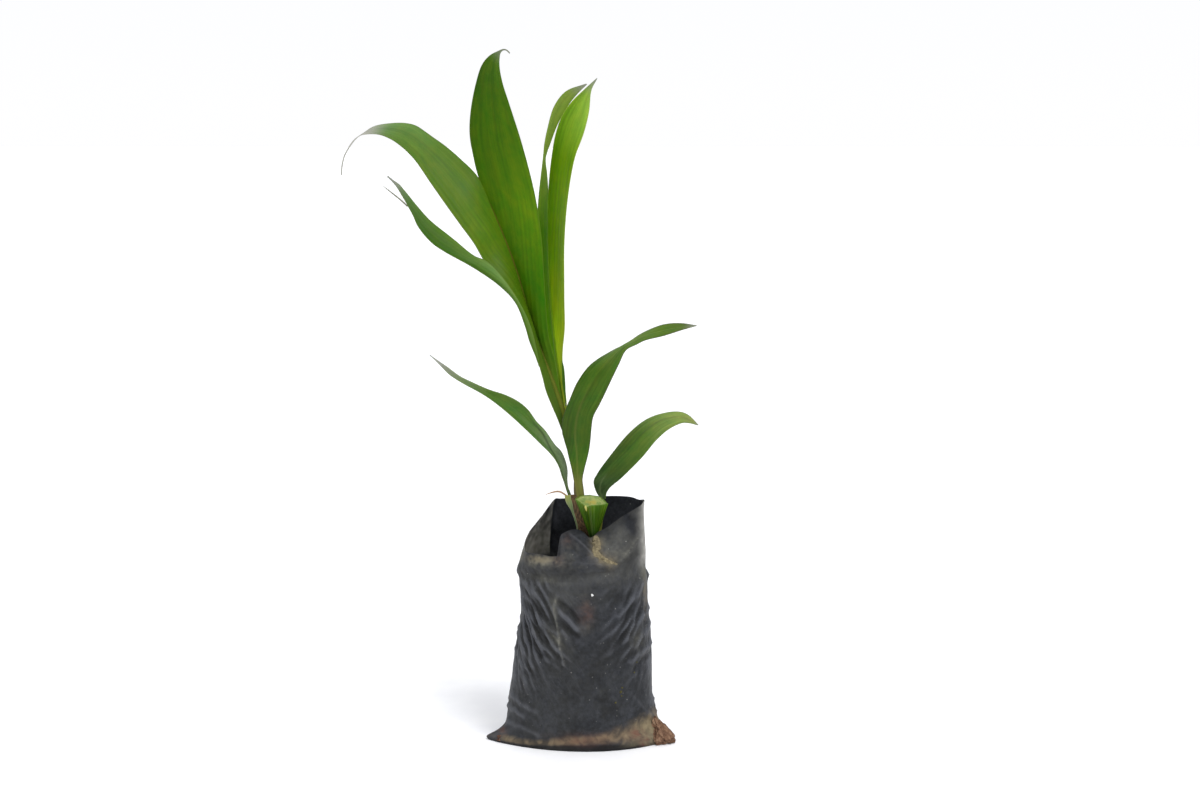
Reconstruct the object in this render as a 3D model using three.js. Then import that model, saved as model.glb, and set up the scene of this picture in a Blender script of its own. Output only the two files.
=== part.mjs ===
// Oil palm seedling in a soft nursery bag of soil.
// Millimetres, +Z up. The origin is the middle of the bag's flat underside, and the front is -Y.
// Every solid is a loft: a row of closed sections joined face to face and capped at both ends.
import * as THREE from "three";

// Driving dimensions of the bag, a lay-flat film tube that is welded along its bottom
const BAG = {
  sides: 40, // points round each ring
  wall: 1.2, // thickness of the solid film, much more than the real film's
  floor: 1.6, // thickness at the welded bottom
  earTaper: 11, // how far the soil stays out of each pinched bottom corner
  steps: 4, // rings between the shoulder and the mouth
  slump: 4, // how far the collapsed neck bulges between them
};
// Rings of the filled bag: height, reach to the left and right, half depth, and how pointed the ends are
const BAG_RINGS = [
  { z: 0, left: 79, right: 76, depth: 33, point: 1 },
  { z: 3, left: 80, right: 77, depth: 35, point: 1 },
  { z: 8, left: 70, right: 73, depth: 37, point: 0.7 },
  { z: 15, left: 64.5, right: 65, depth: 38, point: 0.35 },
  { z: 33, left: 62, right: 61, depth: 39.5, point: 0.1 },
  { z: 67, left: 57, right: 58, depth: 41, point: 0 },
  { z: 102, left: 51.5, right: 56, depth: 42, point: 0 },
  { z: 133, left: 51, right: 54, depth: 43, point: 0 },
  { z: 149, left: 52, right: 53, depth: 43, point: 0 },
];
// The mouth, anticlockwise from the right: the bearing on the bag, and where the film's edge stands.
// The back wall stands upright, the left wall slopes down from it, and the front is folded in.
const MOUTH = [
  { bearing: -12, at: [52, -8, 203] },
  { bearing: 25, at: [52, 25, 198] },
  { bearing: 50, at: [36, 40, 197] },
  { bearing: 72, at: [15, 42, 198] },
  { bearing: 95, at: [-6, 40, 197] },
  { bearing: 118, at: [-22, 38, 197] },
  { bearing: 150, at: [-34, 12, 186] },
  { bearing: 175, at: [-45, -6, 177] },
  { bearing: 195, at: [-47, -20, 164] },
  { bearing: 212, at: [-41, -30, 157] },
  { bearing: 230, at: [-28, -36, 158] },
  { bearing: 243, at: [-20, -31, 164] },
  { bearing: 254, at: [-15, -23, 179] },
  { bearing: 265, at: [-5, -20, 181] },
  { bearing: 282, at: [7, -22, 175] },
  { bearing: 300, at: [19, -18, 183] },
  { bearing: 324, at: [36, -14, 193] },
];
const SOIL = {
  gap: 0.4, // to the film
  earGap: 1.6, // more of it in the bottom corners
  top: 147, // height at the film
  crown: 3, // rise towards the stem
  mound: [[0.35, 0.65], [0.6, 1]], // share of the way in from the film, and of the crown there
};

// The pseudostem, from its flat cut on the soil to where the leaf stalks part
const STEM = {
  sides: 16,
  steps: 8,
  path: [[9, 1, 150.4], [7, 0, 166], [3.6, -0.5, 184], [-0.8, -1, 203]],
  radii: [8, 5.4, 4.2, 3.3],
};
const CLEAR = 0.5; // between neighbouring solids of the plant
const STALK_SIDES = 10;

// Leaf blades: each lies between two margins, from its foot to its tip
const BLADE = {
  steps: 26, // sections along a blade
  across: 4, // faces over its width
  slimness: 88, // length over the thickness of its middle, so over a hundredth of the length
  edge: 0.7, // thickness of its margins
  thread: 1.3, // width of a withered tip
  mostInset: 0.6, // the most of its width that a blade gives up beside its midrib
  mostOutset: 0.2, // and beside a parting on its other margin
};

// Midribs of the two split leaves, shared by their lobes, from the foot of the blade to the split
const TALL_RIB = [[-16, 1, 273], [-23, 3, 294], [-38, 8, 340], [-57, 15, 401], [-72, 21, 438], [-85, 26, 467]];
const YOUNG_RIB = [[-16.5, 10, 285], [-21, 15, 319], [-26, 23, 366], [-28, 28, 415], [-28, 31, 454]];
// The line along which the tall leaf's lowest leaflet parts from its left lobe
const PARTING = [[-45, -4, 352], [-63, -2, 382], [-79, 2, 399]];

// Stalks that start on the pseudostem's side: height and bearing of the foot, then the way up
const STALKS = {
  tall_leaf_stalk: {
    path: [[-1.2, -1, 204], [-5, -3, 224], [-8, -1, 245], [-11, 0, 259], ...TALL_RIB],
    radii: [2.8, 2.3, 1.9, 1.6, 1.3, 1.2, 1.1, 0.9, 0.75, 0.6],
    steps: 26,
  },
  young_leaf_stalk: {
    foot: { height: 190, bearing: 85 },
    path: [[-2, 6, 207], [-6, 7, 227], [-11, 8, 256], ...YOUNG_RIB],
    radii: [2, 2, 1.8, 1.5, 1.1, 1, 0.9, 0.7, 0.5],
    steps: 24,
  },
  mid_right_stalk: {
    foot: { height: 184, bearing: 262 },
    path: [[-1, -9.5, 206], [-3, -9.5, 221.5]],
    radii: [2.4, 2.7, 3.2],
    steps: 8,
  },
  low_right_stalk: {
    foot: { height: 166, bearing: 14 },
    path: [[15.5, 2, 184], [16.6, 2, 202]],
    radii: [1.6, 1.8, 2.1],
    steps: 8,
  },
  low_left_stalk: {
    foot: { height: 178, bearing: 208 },
    path: [[-7, -5, 197], [-10, -5, 209]],
    radii: [1.8, 2.3, 1.7],
    steps: 8,
  },
};

const LOBES = {
  // The tall leaf's broad left half, which arches over and ends in a hanging thread
  tall_leaf_left_lobe: {
    inner: [...TALL_RIB, [-104, 32, 485], [-120, 36, 496], [-136, 40, 507], [-157, 45, 511], [-183, 48, 502]],
    outer: [[-20.5, -2, 268], [-34, -4, 314], ...PARTING, [-98, 8, 429], [-118, 15, 459], [-139, 23, 484],
      [-159, 34, 499], [-183, 48, 500]],
    thread: [[-193, 50, 493], [-199, 52, 481], [-201, 53, 469]],
    inset: [2.5, 1.1], outset: 0.6, camber: -2,
  },
  // Its lowest leaflet, split off the left half and curling away in front
  tall_leaf_outer_lobe: {
    inner: [...PARTING, [-103, 3, 415], [-127, 2, 436], [-142, 4, 453], [-157, 8, 468]],
    outer: [[-45.5, -4.5, 344], [-54, -4, 366], [-66, -3, 378], [-90, -5, 396], [-120, -8, 414], [-138, -3, 438],
      [-157, 8, 467]],
    inset: [0.9, 0.3], outset: 0, camber: -1.5,
  },
  // Its right half, which stands up and hooks over at the tip
  tall_leaf_right_lobe: {
    inner: [...TALL_RIB, [-91, 27, 496], [-91, 25, 522], [-87, 20, 543], [-79, 14, 558], [-70, 8, 568]],
    outer: [[-12.6, 0, 272], [-17, -1, 300], [-27, 0, 338], [-31, 4, 379], [-33, 6, 433], [-43, 6, 471],
      [-52, 4, 507], [-61, 2, 537], [-66, 1, 558], [-67, 5, 568]],
    thread: [[-63, 4, 571], [-58, 1, 568]],
    inset: [2.5, 1.1], outset: 0, camber: 3,
  },
  young_leaf_left_lobe: {
    inner: [...YOUNG_RIB, [-30, 36, 483], [-23, 38, 501], [-12, 40, 524], [7, 42, 545]],
    outer: [[-20, 14, 287], [-28, 24, 318], [-36, 34, 365], [-38, 44, 444], [-34, 48, 479], [-29, 50, 506],
      [-16, 49, 531], [6, 43, 544]],
    inset: [1.9, 0.6], outset: 0, camber: 2,
  },
  young_leaf_right_lobe: {
    inner: [...YOUNG_RIB, [-26, 31, 473], [-22, 31, 497], [-11, 30, 522], [0, 30, 535], [13, 30, 548]],
    outer: [[-13, 8, 287], [-16, 12, 319], [-13, 12, 347], [-14, 12, 400], [-9, 12, 463], [0, 15, 498],
      [7, 20, 521], [9, 27, 540], [13, 30, 547]],
    inset: [1.9, 0.6], outset: 0, camber: -2,
  },
  mid_right_leaf: {
    inner: [[-6.6, -10, 222.3], [-14, -10, 253], [-16, -12, 267], [-6, -14, 295], [14, -17, 322], [43, -24, 340],
      [67, -32, 351], [92, -46, 352]],
    outer: [[0.6, -10, 223], [5, -20, 249], [8, -26, 269], [17, -32, 293], [31, -35, 320], [41, -37, 332],
      [70, -42, 345], [92, -46, 351]],
    inset: [0, 0], outset: 0, camber: 4,
  },
  low_right_leaf: {
    inner: [[13.6, 2, 203], [10, 3, 217], [18, 8, 234], [34, 15, 252], [56, 25, 269], [75, 34, 272], [89, 40, 268],
      [98, 45, 258]],
    outer: [[19.4, 2, 202.6], [25, -4, 217], [44, -4, 234], [58, 0, 251], [74, 12, 263], [92, 34, 262],
      [98, 45, 257]],
    inset: [0, 0], outset: 0, camber: 3,
  },
  low_left_leaf: {
    inner: [[-8.6, -4, 209.8], [-12, -2, 226], [-21, 2, 246], [-40, 10, 270], [-65, 18, 287], [-95, 26, 298],
      [-127, 34, 319]],
    outer: [[-11.6, -5.6, 210], [-20, -8, 234], [-39, -8, 257], [-65, -2, 279], [-84, 8, 291], [-103, 20, 301],
      [-127, 34, 318]],
    inset: [0, 0], outset: 0, camber: 2,
  },
};

// The cut leaf: a rolled, pleated funnel that leans forward over the folded film
const CUT_LEAF = {
  footHeight: 165,
  footRadius: 2,
  throat: { at: [8, -14.5, 173], radius: 2.4 },
  rim: [[21, -26, 204], [18, -21, 207], [14, -18, 209], [5, -17, 210], [-2, -18, 210], [-5, -24, 208], [0, -32, 205],
    [4, -38, 202], [9, -39, 204], [16, -34, 204]],
  wall: 1.4,
  steps: 5,
  hollow: 0.35, // how far up the funnel its open middle starts
};

// The withered scale that stands out of the lowest stalk
const DRY_SCALE = {
  path: [[-12.4, -4.6, 207.5], [-18, -4, 210], [-29, -4, 208]],
  radii: [0.9, 1.1, 0.4],
  sides: 6,
  steps: 6,
};

const COLOURS = {
  film: { color: 0x34383b, roughness: 0.45 },
  soil: { color: 0x6b4a32, roughness: 0.95 },
  stem: { color: 0x6e5a34, roughness: 0.6 },
  stalk: { color: 0x7a7f3a, roughness: 0.5 },
  leaf: { color: 0x3f7416, roughness: 0.4 },
  youngLeaf: { color: 0x7da21c, roughness: 0.4 },
  cutLeaf: { color: 0x8fae55, roughness: 0.5 },
  dryLeaf: { color: 0xa98b62, roughness: 0.8 },
};

const vector = (point) => new THREE.Vector3(...point);
const lerp = THREE.MathUtils.lerp;
const radians = THREE.MathUtils.degToRad;

// A smooth curve through the points.
function curveThrough(points, closed = false) {
  return new THREE.CatmullRomCurve3(points.map(vector), closed, "centripetal");
}

// The value at share t of a list of values that are evenly spaced along something.
function along(values, t) {
  const place = t * (values.length - 1);
  const i = Math.min(Math.floor(place), values.length - 2);
  return lerp(values[i], values[i + 1], place - i);
}

// A closed solid through sections of equal point counts. Its ends are closed in strips from side to side.
function loft(sections) {
  const count = sections[0].length;
  const position = sections.flat().flatMap((p) => p.toArray());
  const index = [];
  const quad = (a, b, c, d) => index.push(a, b, c, a, c, d);
  for (let i = 0; i < sections.length - 1; i++)
    for (let j = 0; j < count; j++) {
      const next = (j + 1) % count;
      quad(i * count + j, i * count + next, (i + 1) * count + next, (i + 1) * count + j);
    }
  const last = (sections.length - 1) * count;
  for (let j = 0; j < count / 2 - 1; j++) {
    quad(j, count - 1 - j, count - 2 - j, j + 1);
    quad(last + j, last + j + 1, last + count - 2 - j, last + count - 1 - j);
  }
  if (volume(position, index) < 0) index.reverse();
  const geometry = new THREE.BufferGeometry();
  geometry.setAttribute("position", new THREE.Float32BufferAttribute(position, 3));
  geometry.setIndex(index);
  geometry.computeVertexNormals();
  return geometry;
}

// Signed volume of an indexed surface.
function volume(position, index) {
  const corner = (i) => new THREE.Vector3().fromArray(position, 3 * index[i]);
  let sum = 0;
  for (let i = 0; i < index.length; i += 3) sum += corner(i).dot(corner(i + 1).cross(corner(i + 2)));
  return sum / 6;
}

// A tapering round limb along a path of points, with a radius for each of them.
function limb({ path, radii, steps, sides }) {
  const curve = curveThrough(path);
  const { normals, binormals } = curve.computeFrenetFrames(steps);
  const sections = [];
  for (let i = 0; i <= steps; i++) {
    const t = curve.getUtoTmapping(i / steps);
    const centre = curve.getPoint(t);
    const radius = along(radii, t);
    sections.push(ring(sides, (turn) => centre.clone()
      .addScaledVector(normals[i], radius * Math.cos(turn))
      .addScaledVector(binormals[i], radius * Math.sin(turn))));
  }
  return loft(sections);
}

// One closed ring of points, made by a function of the turn in radians.
function ring(sides, pointAt) {
  return Array.from({ length: sides }, (_, j) => pointAt((2 * Math.PI * j) / sides));
}

// A point of the bag's rings at a height, moved in by a distance.
function bagPoint(height, turn, inwards = 0, earTaper = 0) {
  const above = Math.max(1, BAG_RINGS.findIndex((r) => r.z >= height));
  const low = BAG_RINGS[above - 1];
  const high = BAG_RINGS[above];
  const t = (height - low.z) / (high.z - low.z);
  const point = lerp(low.point, high.point, t);
  const reach = turn > Math.PI / 2 && turn < 1.5 * Math.PI ? "left" : "right";
  const inset = inwards + earTaper * point;
  const x = Math.cos(turn) * (lerp(low[reach], high[reach], t) - inset);
  const y = Math.sin(turn) * Math.abs(Math.sin(turn)) ** point * (lerp(low.depth, high.depth, t) - inwards);
  return new THREE.Vector3(x, y, height);
}

// The mouth's edge at a bearing round the bag.
function mouthPoint(turn) {
  const curve = curveThrough(MOUTH.map(({ at }) => at), true);
  const bearings = MOUTH.map(({ bearing }) => radians(bearing));
  bearings.push(bearings[0] + 2 * Math.PI);
  const bearing = turn < bearings[0] ? turn + 2 * Math.PI : turn > bearings.at(-1) ? turn - 2 * Math.PI : turn;
  const i = bearings.findIndex((b) => b > bearing) - 1;
  return curve.getPoint((i + (bearing - bearings[i]) / (bearings[i + 1] - bearings[i])) / MOUTH.length);
}

// A ring moved in by a distance, square to the surface that the rings beside it span.
function insideOf(rings, i, distance) {
  const count = rings[i].length;
  const below = rings[Math.max(i - 1, 0)];
  const above = rings[Math.min(i + 1, rings.length - 1)];
  return rings[i].map((p, j) => {
    const round = rings[i][(j + 1) % count].clone().sub(rings[i][(j + count - 1) % count]);
    const rise = above[j].clone().sub(below[j]);
    return p.clone().addScaledVector(rise.cross(round).normalize(), distance);
  });
}

// The film: up the outside from the underside to the mouth, and down the inside to its floor.
function bagFilm() {
  const body = BAG_RINGS.map(({ z }) => ring(BAG.sides, (turn) => bagPoint(z, turn)));
  const shoulder = body.at(-1);
  const neck = Array.from({ length: BAG.steps }, (_, k) => {
    const t = (k + 1) / BAG.steps;
    return ring(BAG.sides, mouthPoint).map((edge, j) => shoulder[j].clone().lerp(edge, t)
      .add(new THREE.Vector3(0, 0, BAG.slump * Math.sin(Math.PI * t))));
  });
  const outside = [...body, ...neck];
  const inside = neck.map((_, k) => insideOf(outside, body.length + k, BAG.wall));
  const lining = innerHeights().map((z) => ring(BAG.sides, (turn) => bagPoint(z, turn, BAG.wall, BAG.earTaper)));
  return loft([...outside, ...inside.reverse(), ...lining]);
}

// Heights of the rings of the film's inner face, from the shoulder down to its floor.
function innerHeights() {
  return [...BAG_RINGS.map(({ z }) => z).filter((z) => z > BAG.floor).reverse(), BAG.floor];
}

// The soil: it fills the bag up to a low crown round the stem.
function soilFill() {
  const inset = BAG.wall + SOIL.gap;
  const earTaper = BAG.earTaper + SOIL.earGap;
  const heights = innerHeights().reverse().map((z, i) => (i ? z : z + SOIL.gap)).filter((z) => z < SOIL.top);
  const sides = [...heights, SOIL.top].map((z) => ring(BAG.sides, (turn) => bagPoint(z, turn, inset, earTaper)));
  const mound = SOIL.mound.map(([way, rise]) => sides.at(-1).map((p) => new THREE.Vector3(
    p.x * (1 - way), p.y * (1 - way), SOIL.top + SOIL.crown * rise)));
  return loft([...sides, ...mound]);
}

// Where a stalk's centre starts so that it lies against the pseudostem.
function besideStem({ height, bearing }, radius) {
  const curve = curveThrough(STEM.path);
  const t = shareAtHeight(curve, height);
  const reach = along(STEM.radii, t) + radius + CLEAR;
  return curve.getPoint(t).add(new THREE.Vector3(
    reach * Math.cos(radians(bearing)), reach * Math.sin(radians(bearing)), 0)).toArray();
}

// The share of a rising curve at which it reaches a height.
function shareAtHeight(curve, height) {
  let [low, high] = [0, 1];
  while (high - low > 1e-4) {
    const middle = (low + high) / 2;
    if (curve.getPoint(middle).z < height) low = middle;
    else high = middle;
  }
  return low;
}

// The pseudostem: level rings up its leaning path, so that its foot is a flat cut.
function stem() {
  const curve = curveThrough(STEM.path);
  return loft(Array.from({ length: STEM.steps + 1 }, (_, i) => {
    const t = i / STEM.steps;
    const centre = curve.getPoint(t);
    const radius = along(STEM.radii, t);
    return ring(STEM.sides, (turn) => centre.clone()
      .add(new THREE.Vector3(radius * Math.cos(turn), radius * Math.sin(turn), 0)));
  }));
}

function stalk({ foot, path, radii, steps }) {
  const start = foot ? [besideStem(foot, radii[0])] : [];
  return limb({ path: [...start, ...path], radii, steps, sides: STALK_SIDES });
}

// A blade between two margins: a lens-shaped section, bowed by its camber, that thins out to both margins.
function blade({ inner, outer, thread = [], inset, outset, camber }) {
  const innerEdge = curveThrough(withThread(inner, outer, thread)).getSpacedPoints(BLADE.steps);
  const outerEdge = curveThrough(withThread(outer, inner, thread)).getSpacedPoints(BLADE.steps);
  const length = curveThrough(inner).getLength();
  const sections = innerEdge.map((from, i) => {
    const to = outerEdge[i];
    const t = i / BLADE.steps;
    const over = to.clone().sub(from);
    const width = over.length();
    over.normalize();
    const start = Math.min(lerp(inset[0], inset[1], t), width * BLADE.mostInset);
    const end = width - Math.min(outset, width * BLADE.mostOutset);
    const before = middleOf(innerEdge, outerEdge, Math.max(i - 1, 0));
    const rise = middleOf(innerEdge, outerEdge, Math.min(i + 1, BLADE.steps)).sub(before);
    const face = over.clone().cross(rise).normalize();
    const middle = Math.min(length / BLADE.slimness, Math.max(width * 0.45, BLADE.edge));
    const rows = Array.from({ length: BLADE.across + 1 }, (_, j) => {
      const share = j / BLADE.across;
      const swell = Math.sin(Math.PI * share);
      const bow = Math.min(camber, width / 5) * swell * Math.sin(Math.PI * Math.min(1, t * 1.05 + 0.05));
      const half = lerp(Math.min(BLADE.edge, middle), middle, swell) / 2;
      const centre = from.clone().addScaledVector(over, lerp(start, end, share)).addScaledVector(face, bow);
      return [centre.clone().addScaledVector(face, half), centre.clone().addScaledVector(face, -half)];
    });
    return [...rows.map(([front]) => front), ...rows.map(([, back]) => back).reverse()];
  });
  return loft(sections);
}

// A margin with the withered tip added, half the tip's width to its own side.
function withThread(margin, other, thread) {
  const side = vector(margin.at(-2)).sub(vector(other.at(-2))).normalize().multiplyScalar(BLADE.thread / 2);
  return [...margin, ...thread.map((point) => vector(point).add(side).toArray())];
}

function middleOf(innerEdge, outerEdge, i) {
  return innerEdge[i].clone().add(outerEdge[i]).multiplyScalar(0.5);
}

// The rolled cut leaf: a funnel with an open middle, from its foot on the stem to its slanted rim.
function cutLeaf() {
  const { footHeight, footRadius, throat, rim, wall, steps, hollow } = CUT_LEAF;
  const sides = rim.length;
  const circle = (centre, radius) => ring(sides, (turn) => vector(centre)
    .add(new THREE.Vector3(radius * Math.cos(turn), radius * Math.sin(turn), 0)));
  const foot = circle(besideStem({ height: footHeight, bearing: 272 }, footRadius), footRadius);
  const neck = circle(throat.at, throat.radius);
  const edge = rim.map(vector);
  const middle = edge.reduce((sum, p) => sum.add(p), new THREE.Vector3()).divideScalar(sides);
  const between = (t) => neck.map((p, j) => p.clone().lerp(edge[j], t));
  const outside = Array.from({ length: steps }, (_, k) => between((k + 1) / steps));
  const core = (t, thickness) => {
    const centre = vector(throat.at).lerp(middle, t);
    return between(t).map((p) => p.lerp(centre, Math.min(0.9, thickness / p.distanceTo(centre))));
  };
  const inside = [core(1, wall), core(lerp(hollow, 1, 0.5), wall), core(hollow, wall)];
  return loft([foot, neck, ...outside, ...inside]);
}

function piece(name, geometry, finish) {
  const mesh = new THREE.Mesh(geometry, new THREE.MeshStandardMaterial({ metalness: 0, ...finish }));
  mesh.name = name;
  return mesh;
}

const bag = new THREE.Group();
bag.add(piece("bag_film", bagFilm(), COLOURS.film), piece("soil_fill", soilFill(), COLOURS.soil));

const plant = new THREE.Group();
plant.add(
  piece("stem", stem(), COLOURS.stem),
  piece("cut_leaf", cutLeaf(), COLOURS.cutLeaf),
  piece("dry_scale", limb(DRY_SCALE), COLOURS.dryLeaf),
);
for (const [name, sizes] of Object.entries(STALKS)) plant.add(piece(name, stalk(sizes), COLOURS.stalk));
for (const [name, sizes] of Object.entries(LOBES))
  plant.add(piece(name, blade(sizes), name.startsWith("young") ? COLOURS.youngLeaf : COLOURS.leaf));

const seedling = new THREE.Group();
seedling.add(bag, plant);
export default seedling;
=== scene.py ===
"""An oil palm seedling in a soft black nursery bag of soil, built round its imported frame.

Sizes and places are in millimetres, with +Z up and the bag's front towards -Y. METRE turns them into
the scene's metres when a point is set. Turns and shares run from 0 to 1 unless a name says otherwise.
"""

import logging
import math
from abc import ABC, abstractmethod
from bisect import bisect_right
from collections.abc import Callable, Sequence
from dataclasses import dataclass
from enum import Enum
from functools import cached_property, partial

import bmesh
import bpy
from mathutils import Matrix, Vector, noise


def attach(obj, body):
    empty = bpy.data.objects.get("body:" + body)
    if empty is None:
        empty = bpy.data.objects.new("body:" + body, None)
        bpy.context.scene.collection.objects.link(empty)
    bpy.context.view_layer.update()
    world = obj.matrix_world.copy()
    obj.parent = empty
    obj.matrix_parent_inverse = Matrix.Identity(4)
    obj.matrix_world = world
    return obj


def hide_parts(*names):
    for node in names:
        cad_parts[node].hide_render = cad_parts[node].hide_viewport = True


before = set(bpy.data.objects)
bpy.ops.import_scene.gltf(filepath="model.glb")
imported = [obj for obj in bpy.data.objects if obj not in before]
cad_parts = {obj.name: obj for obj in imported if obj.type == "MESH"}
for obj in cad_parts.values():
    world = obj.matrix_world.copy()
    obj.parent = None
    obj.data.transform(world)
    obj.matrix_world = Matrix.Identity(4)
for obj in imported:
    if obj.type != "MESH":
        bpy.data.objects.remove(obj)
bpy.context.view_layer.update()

METRE = 0.001
log = logging.getLogger("seedling")

Point = tuple[float, float, float]
Stops = tuple[tuple[float, str], ...]
Place = Callable[[float, float], Vector]
Adder = Callable[..., bpy.types.NodeSocket]
Sockets = dict[str, bpy.types.NodeSocket]


def smooth(low: float, high: float, value: float) -> float:
    """A share that rises smoothly from 0 at low to 1 at high."""
    t = min(1.0, max(0.0, (value - low) / (high - low)))
    return t * t * (3 - 2 * t)


def mix(a: float, b: float, t: float) -> float:
    """The value at share t of the way from a to b."""
    return a + (b - a) * t


def bell(value: float, middle: float, spread: float) -> float:
    """A hump of height 1 round middle, that is about gone two spreads away."""
    return math.exp(-(((value - middle) / spread) ** 2))


def turned_from(bearing: float, middle: float) -> float:
    """Degrees from one bearing to another, the short way round."""
    return (bearing - middle + 180) % 360 - 180


def along(values: Sequence[float], t: float) -> float:
    """The value at share t of a list of evenly spaced values.

    Args:
        values: The values.
        t: The share.

    Returns:
        The value between its neighbours there.
    """
    place = t * (len(values) - 1)
    i = min(int(place), len(values) - 2)
    return mix(values[i], values[i + 1], place - i)


def through(rows: Sequence[Sequence[float]], at: float) -> list[float]:
    """Reads a table of rows smoothly between them.

    Args:
        rows: Rows whose first value rises.
        at: Where to read, on the scale of the first value.

    Returns:
        The other values of the row at that place.
    """
    i = min(max(bisect_right([row[0] for row in rows], at) - 1, 0), len(rows) - 2)
    low, high = rows[i], rows[i + 1]
    before, after = rows[max(i - 1, 0)], rows[min(i + 2, len(rows) - 1)]
    span = high[0] - low[0]
    t = min(1.0, max(0.0, (at - low[0]) / span))
    values = []
    for k in range(1, len(low)):
        leave = (high[k] - before[k]) / (high[0] - before[0]) * span
        arrive = (after[k] - low[k]) / (after[0] - low[0]) * span
        values.append(low[k] * (1 + 2 * t) * (1 - t) ** 2 + high[k] * t * t * (3 - 2 * t)
                      + leave * t * (1 - t) ** 2 - arrive * t * t * (1 - t))
    return values


class Curve:
    """A smooth line through points, read by its share of length or by its knots."""

    DETAIL = 16

    def __init__(self, points: Sequence[Point], closed: bool = False) -> None:
        """Measures the line.

        Args:
            points: The knots that it passes.
            closed: Whether it returns to the first knot.
        """
        self.points = [Vector(p) for p in points]
        self.closed = closed
        self.spans = len(points) if closed else len(points) - 1
        places = [i / self.DETAIL for i in range(self.spans * self.DETAIL + 1)]
        line = [self.at_knot(place) for place in places]
        self.lengths = [0.0]
        for a, b in zip(line, line[1:]):
            self.lengths.append(self.lengths[-1] + (b - a).length)

    def knot(self, i: int) -> Vector:
        """A knot, or the one that carries on past an open end.

        Args:
            i: Its number.

        Returns:
            The knot.
        """
        if self.closed:
            return self.points[i % len(self.points)]
        if i < 0:
            return self.points[0] * 2 - self.points[1]
        if i >= len(self.points):
            return self.points[-1] * 2 - self.points[-2]
        return self.points[i]

    def at_knot(self, place: float) -> Vector:
        """The point at a place counted in knots, by centripetal Catmull-Rom.

        Args:
            place: The place.

        Returns:
            The point.
        """
        i = min(int(place), self.spans - 1)
        t = place - i
        a, b, c, d = (self.knot(i + k) for k in (-1, 0, 1, 2))
        u, v, w = (max((q - p).length ** 0.5, 1e-6) for p, q in ((a, b), (b, c), (c, d)))
        leave = ((b - a) / u - (c - a) / (u + v) + (c - b) / v) * v
        arrive = ((c - b) / v - (d - b) / (v + w) + (d - c) / w) * v
        return (b * (1 + 2 * t) * (1 - t) ** 2 + c * t * t * (3 - 2 * t)
                + leave * t * (1 - t) ** 2 - arrive * t * t * (1 - t))

    def knot_share(self, share: float) -> float:
        """The share of the knots that lies at a share of the length.

        Args:
            share: Share of the length.

        Returns:
            Share of the knots.
        """
        run = share * self.lengths[-1]
        i = min(max(bisect_right(self.lengths, run) - 1, 0), len(self.lengths) - 2)
        step = self.lengths[i + 1] - self.lengths[i]
        return min(1.0, (i + (run - self.lengths[i]) / max(step, 1e-9)) / (self.spans * self.DETAIL))

    def at(self, share: float) -> Vector:
        """The point at a share of the length."""
        return self.at_knot(self.knot_share(share) * self.spans)

    def toward(self, share: float) -> Vector:
        """The direction at a share of the length."""
        return (self.at(min(1.0, share + 0.01)) - self.at(max(0.0, share - 0.01))).normalized()


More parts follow.
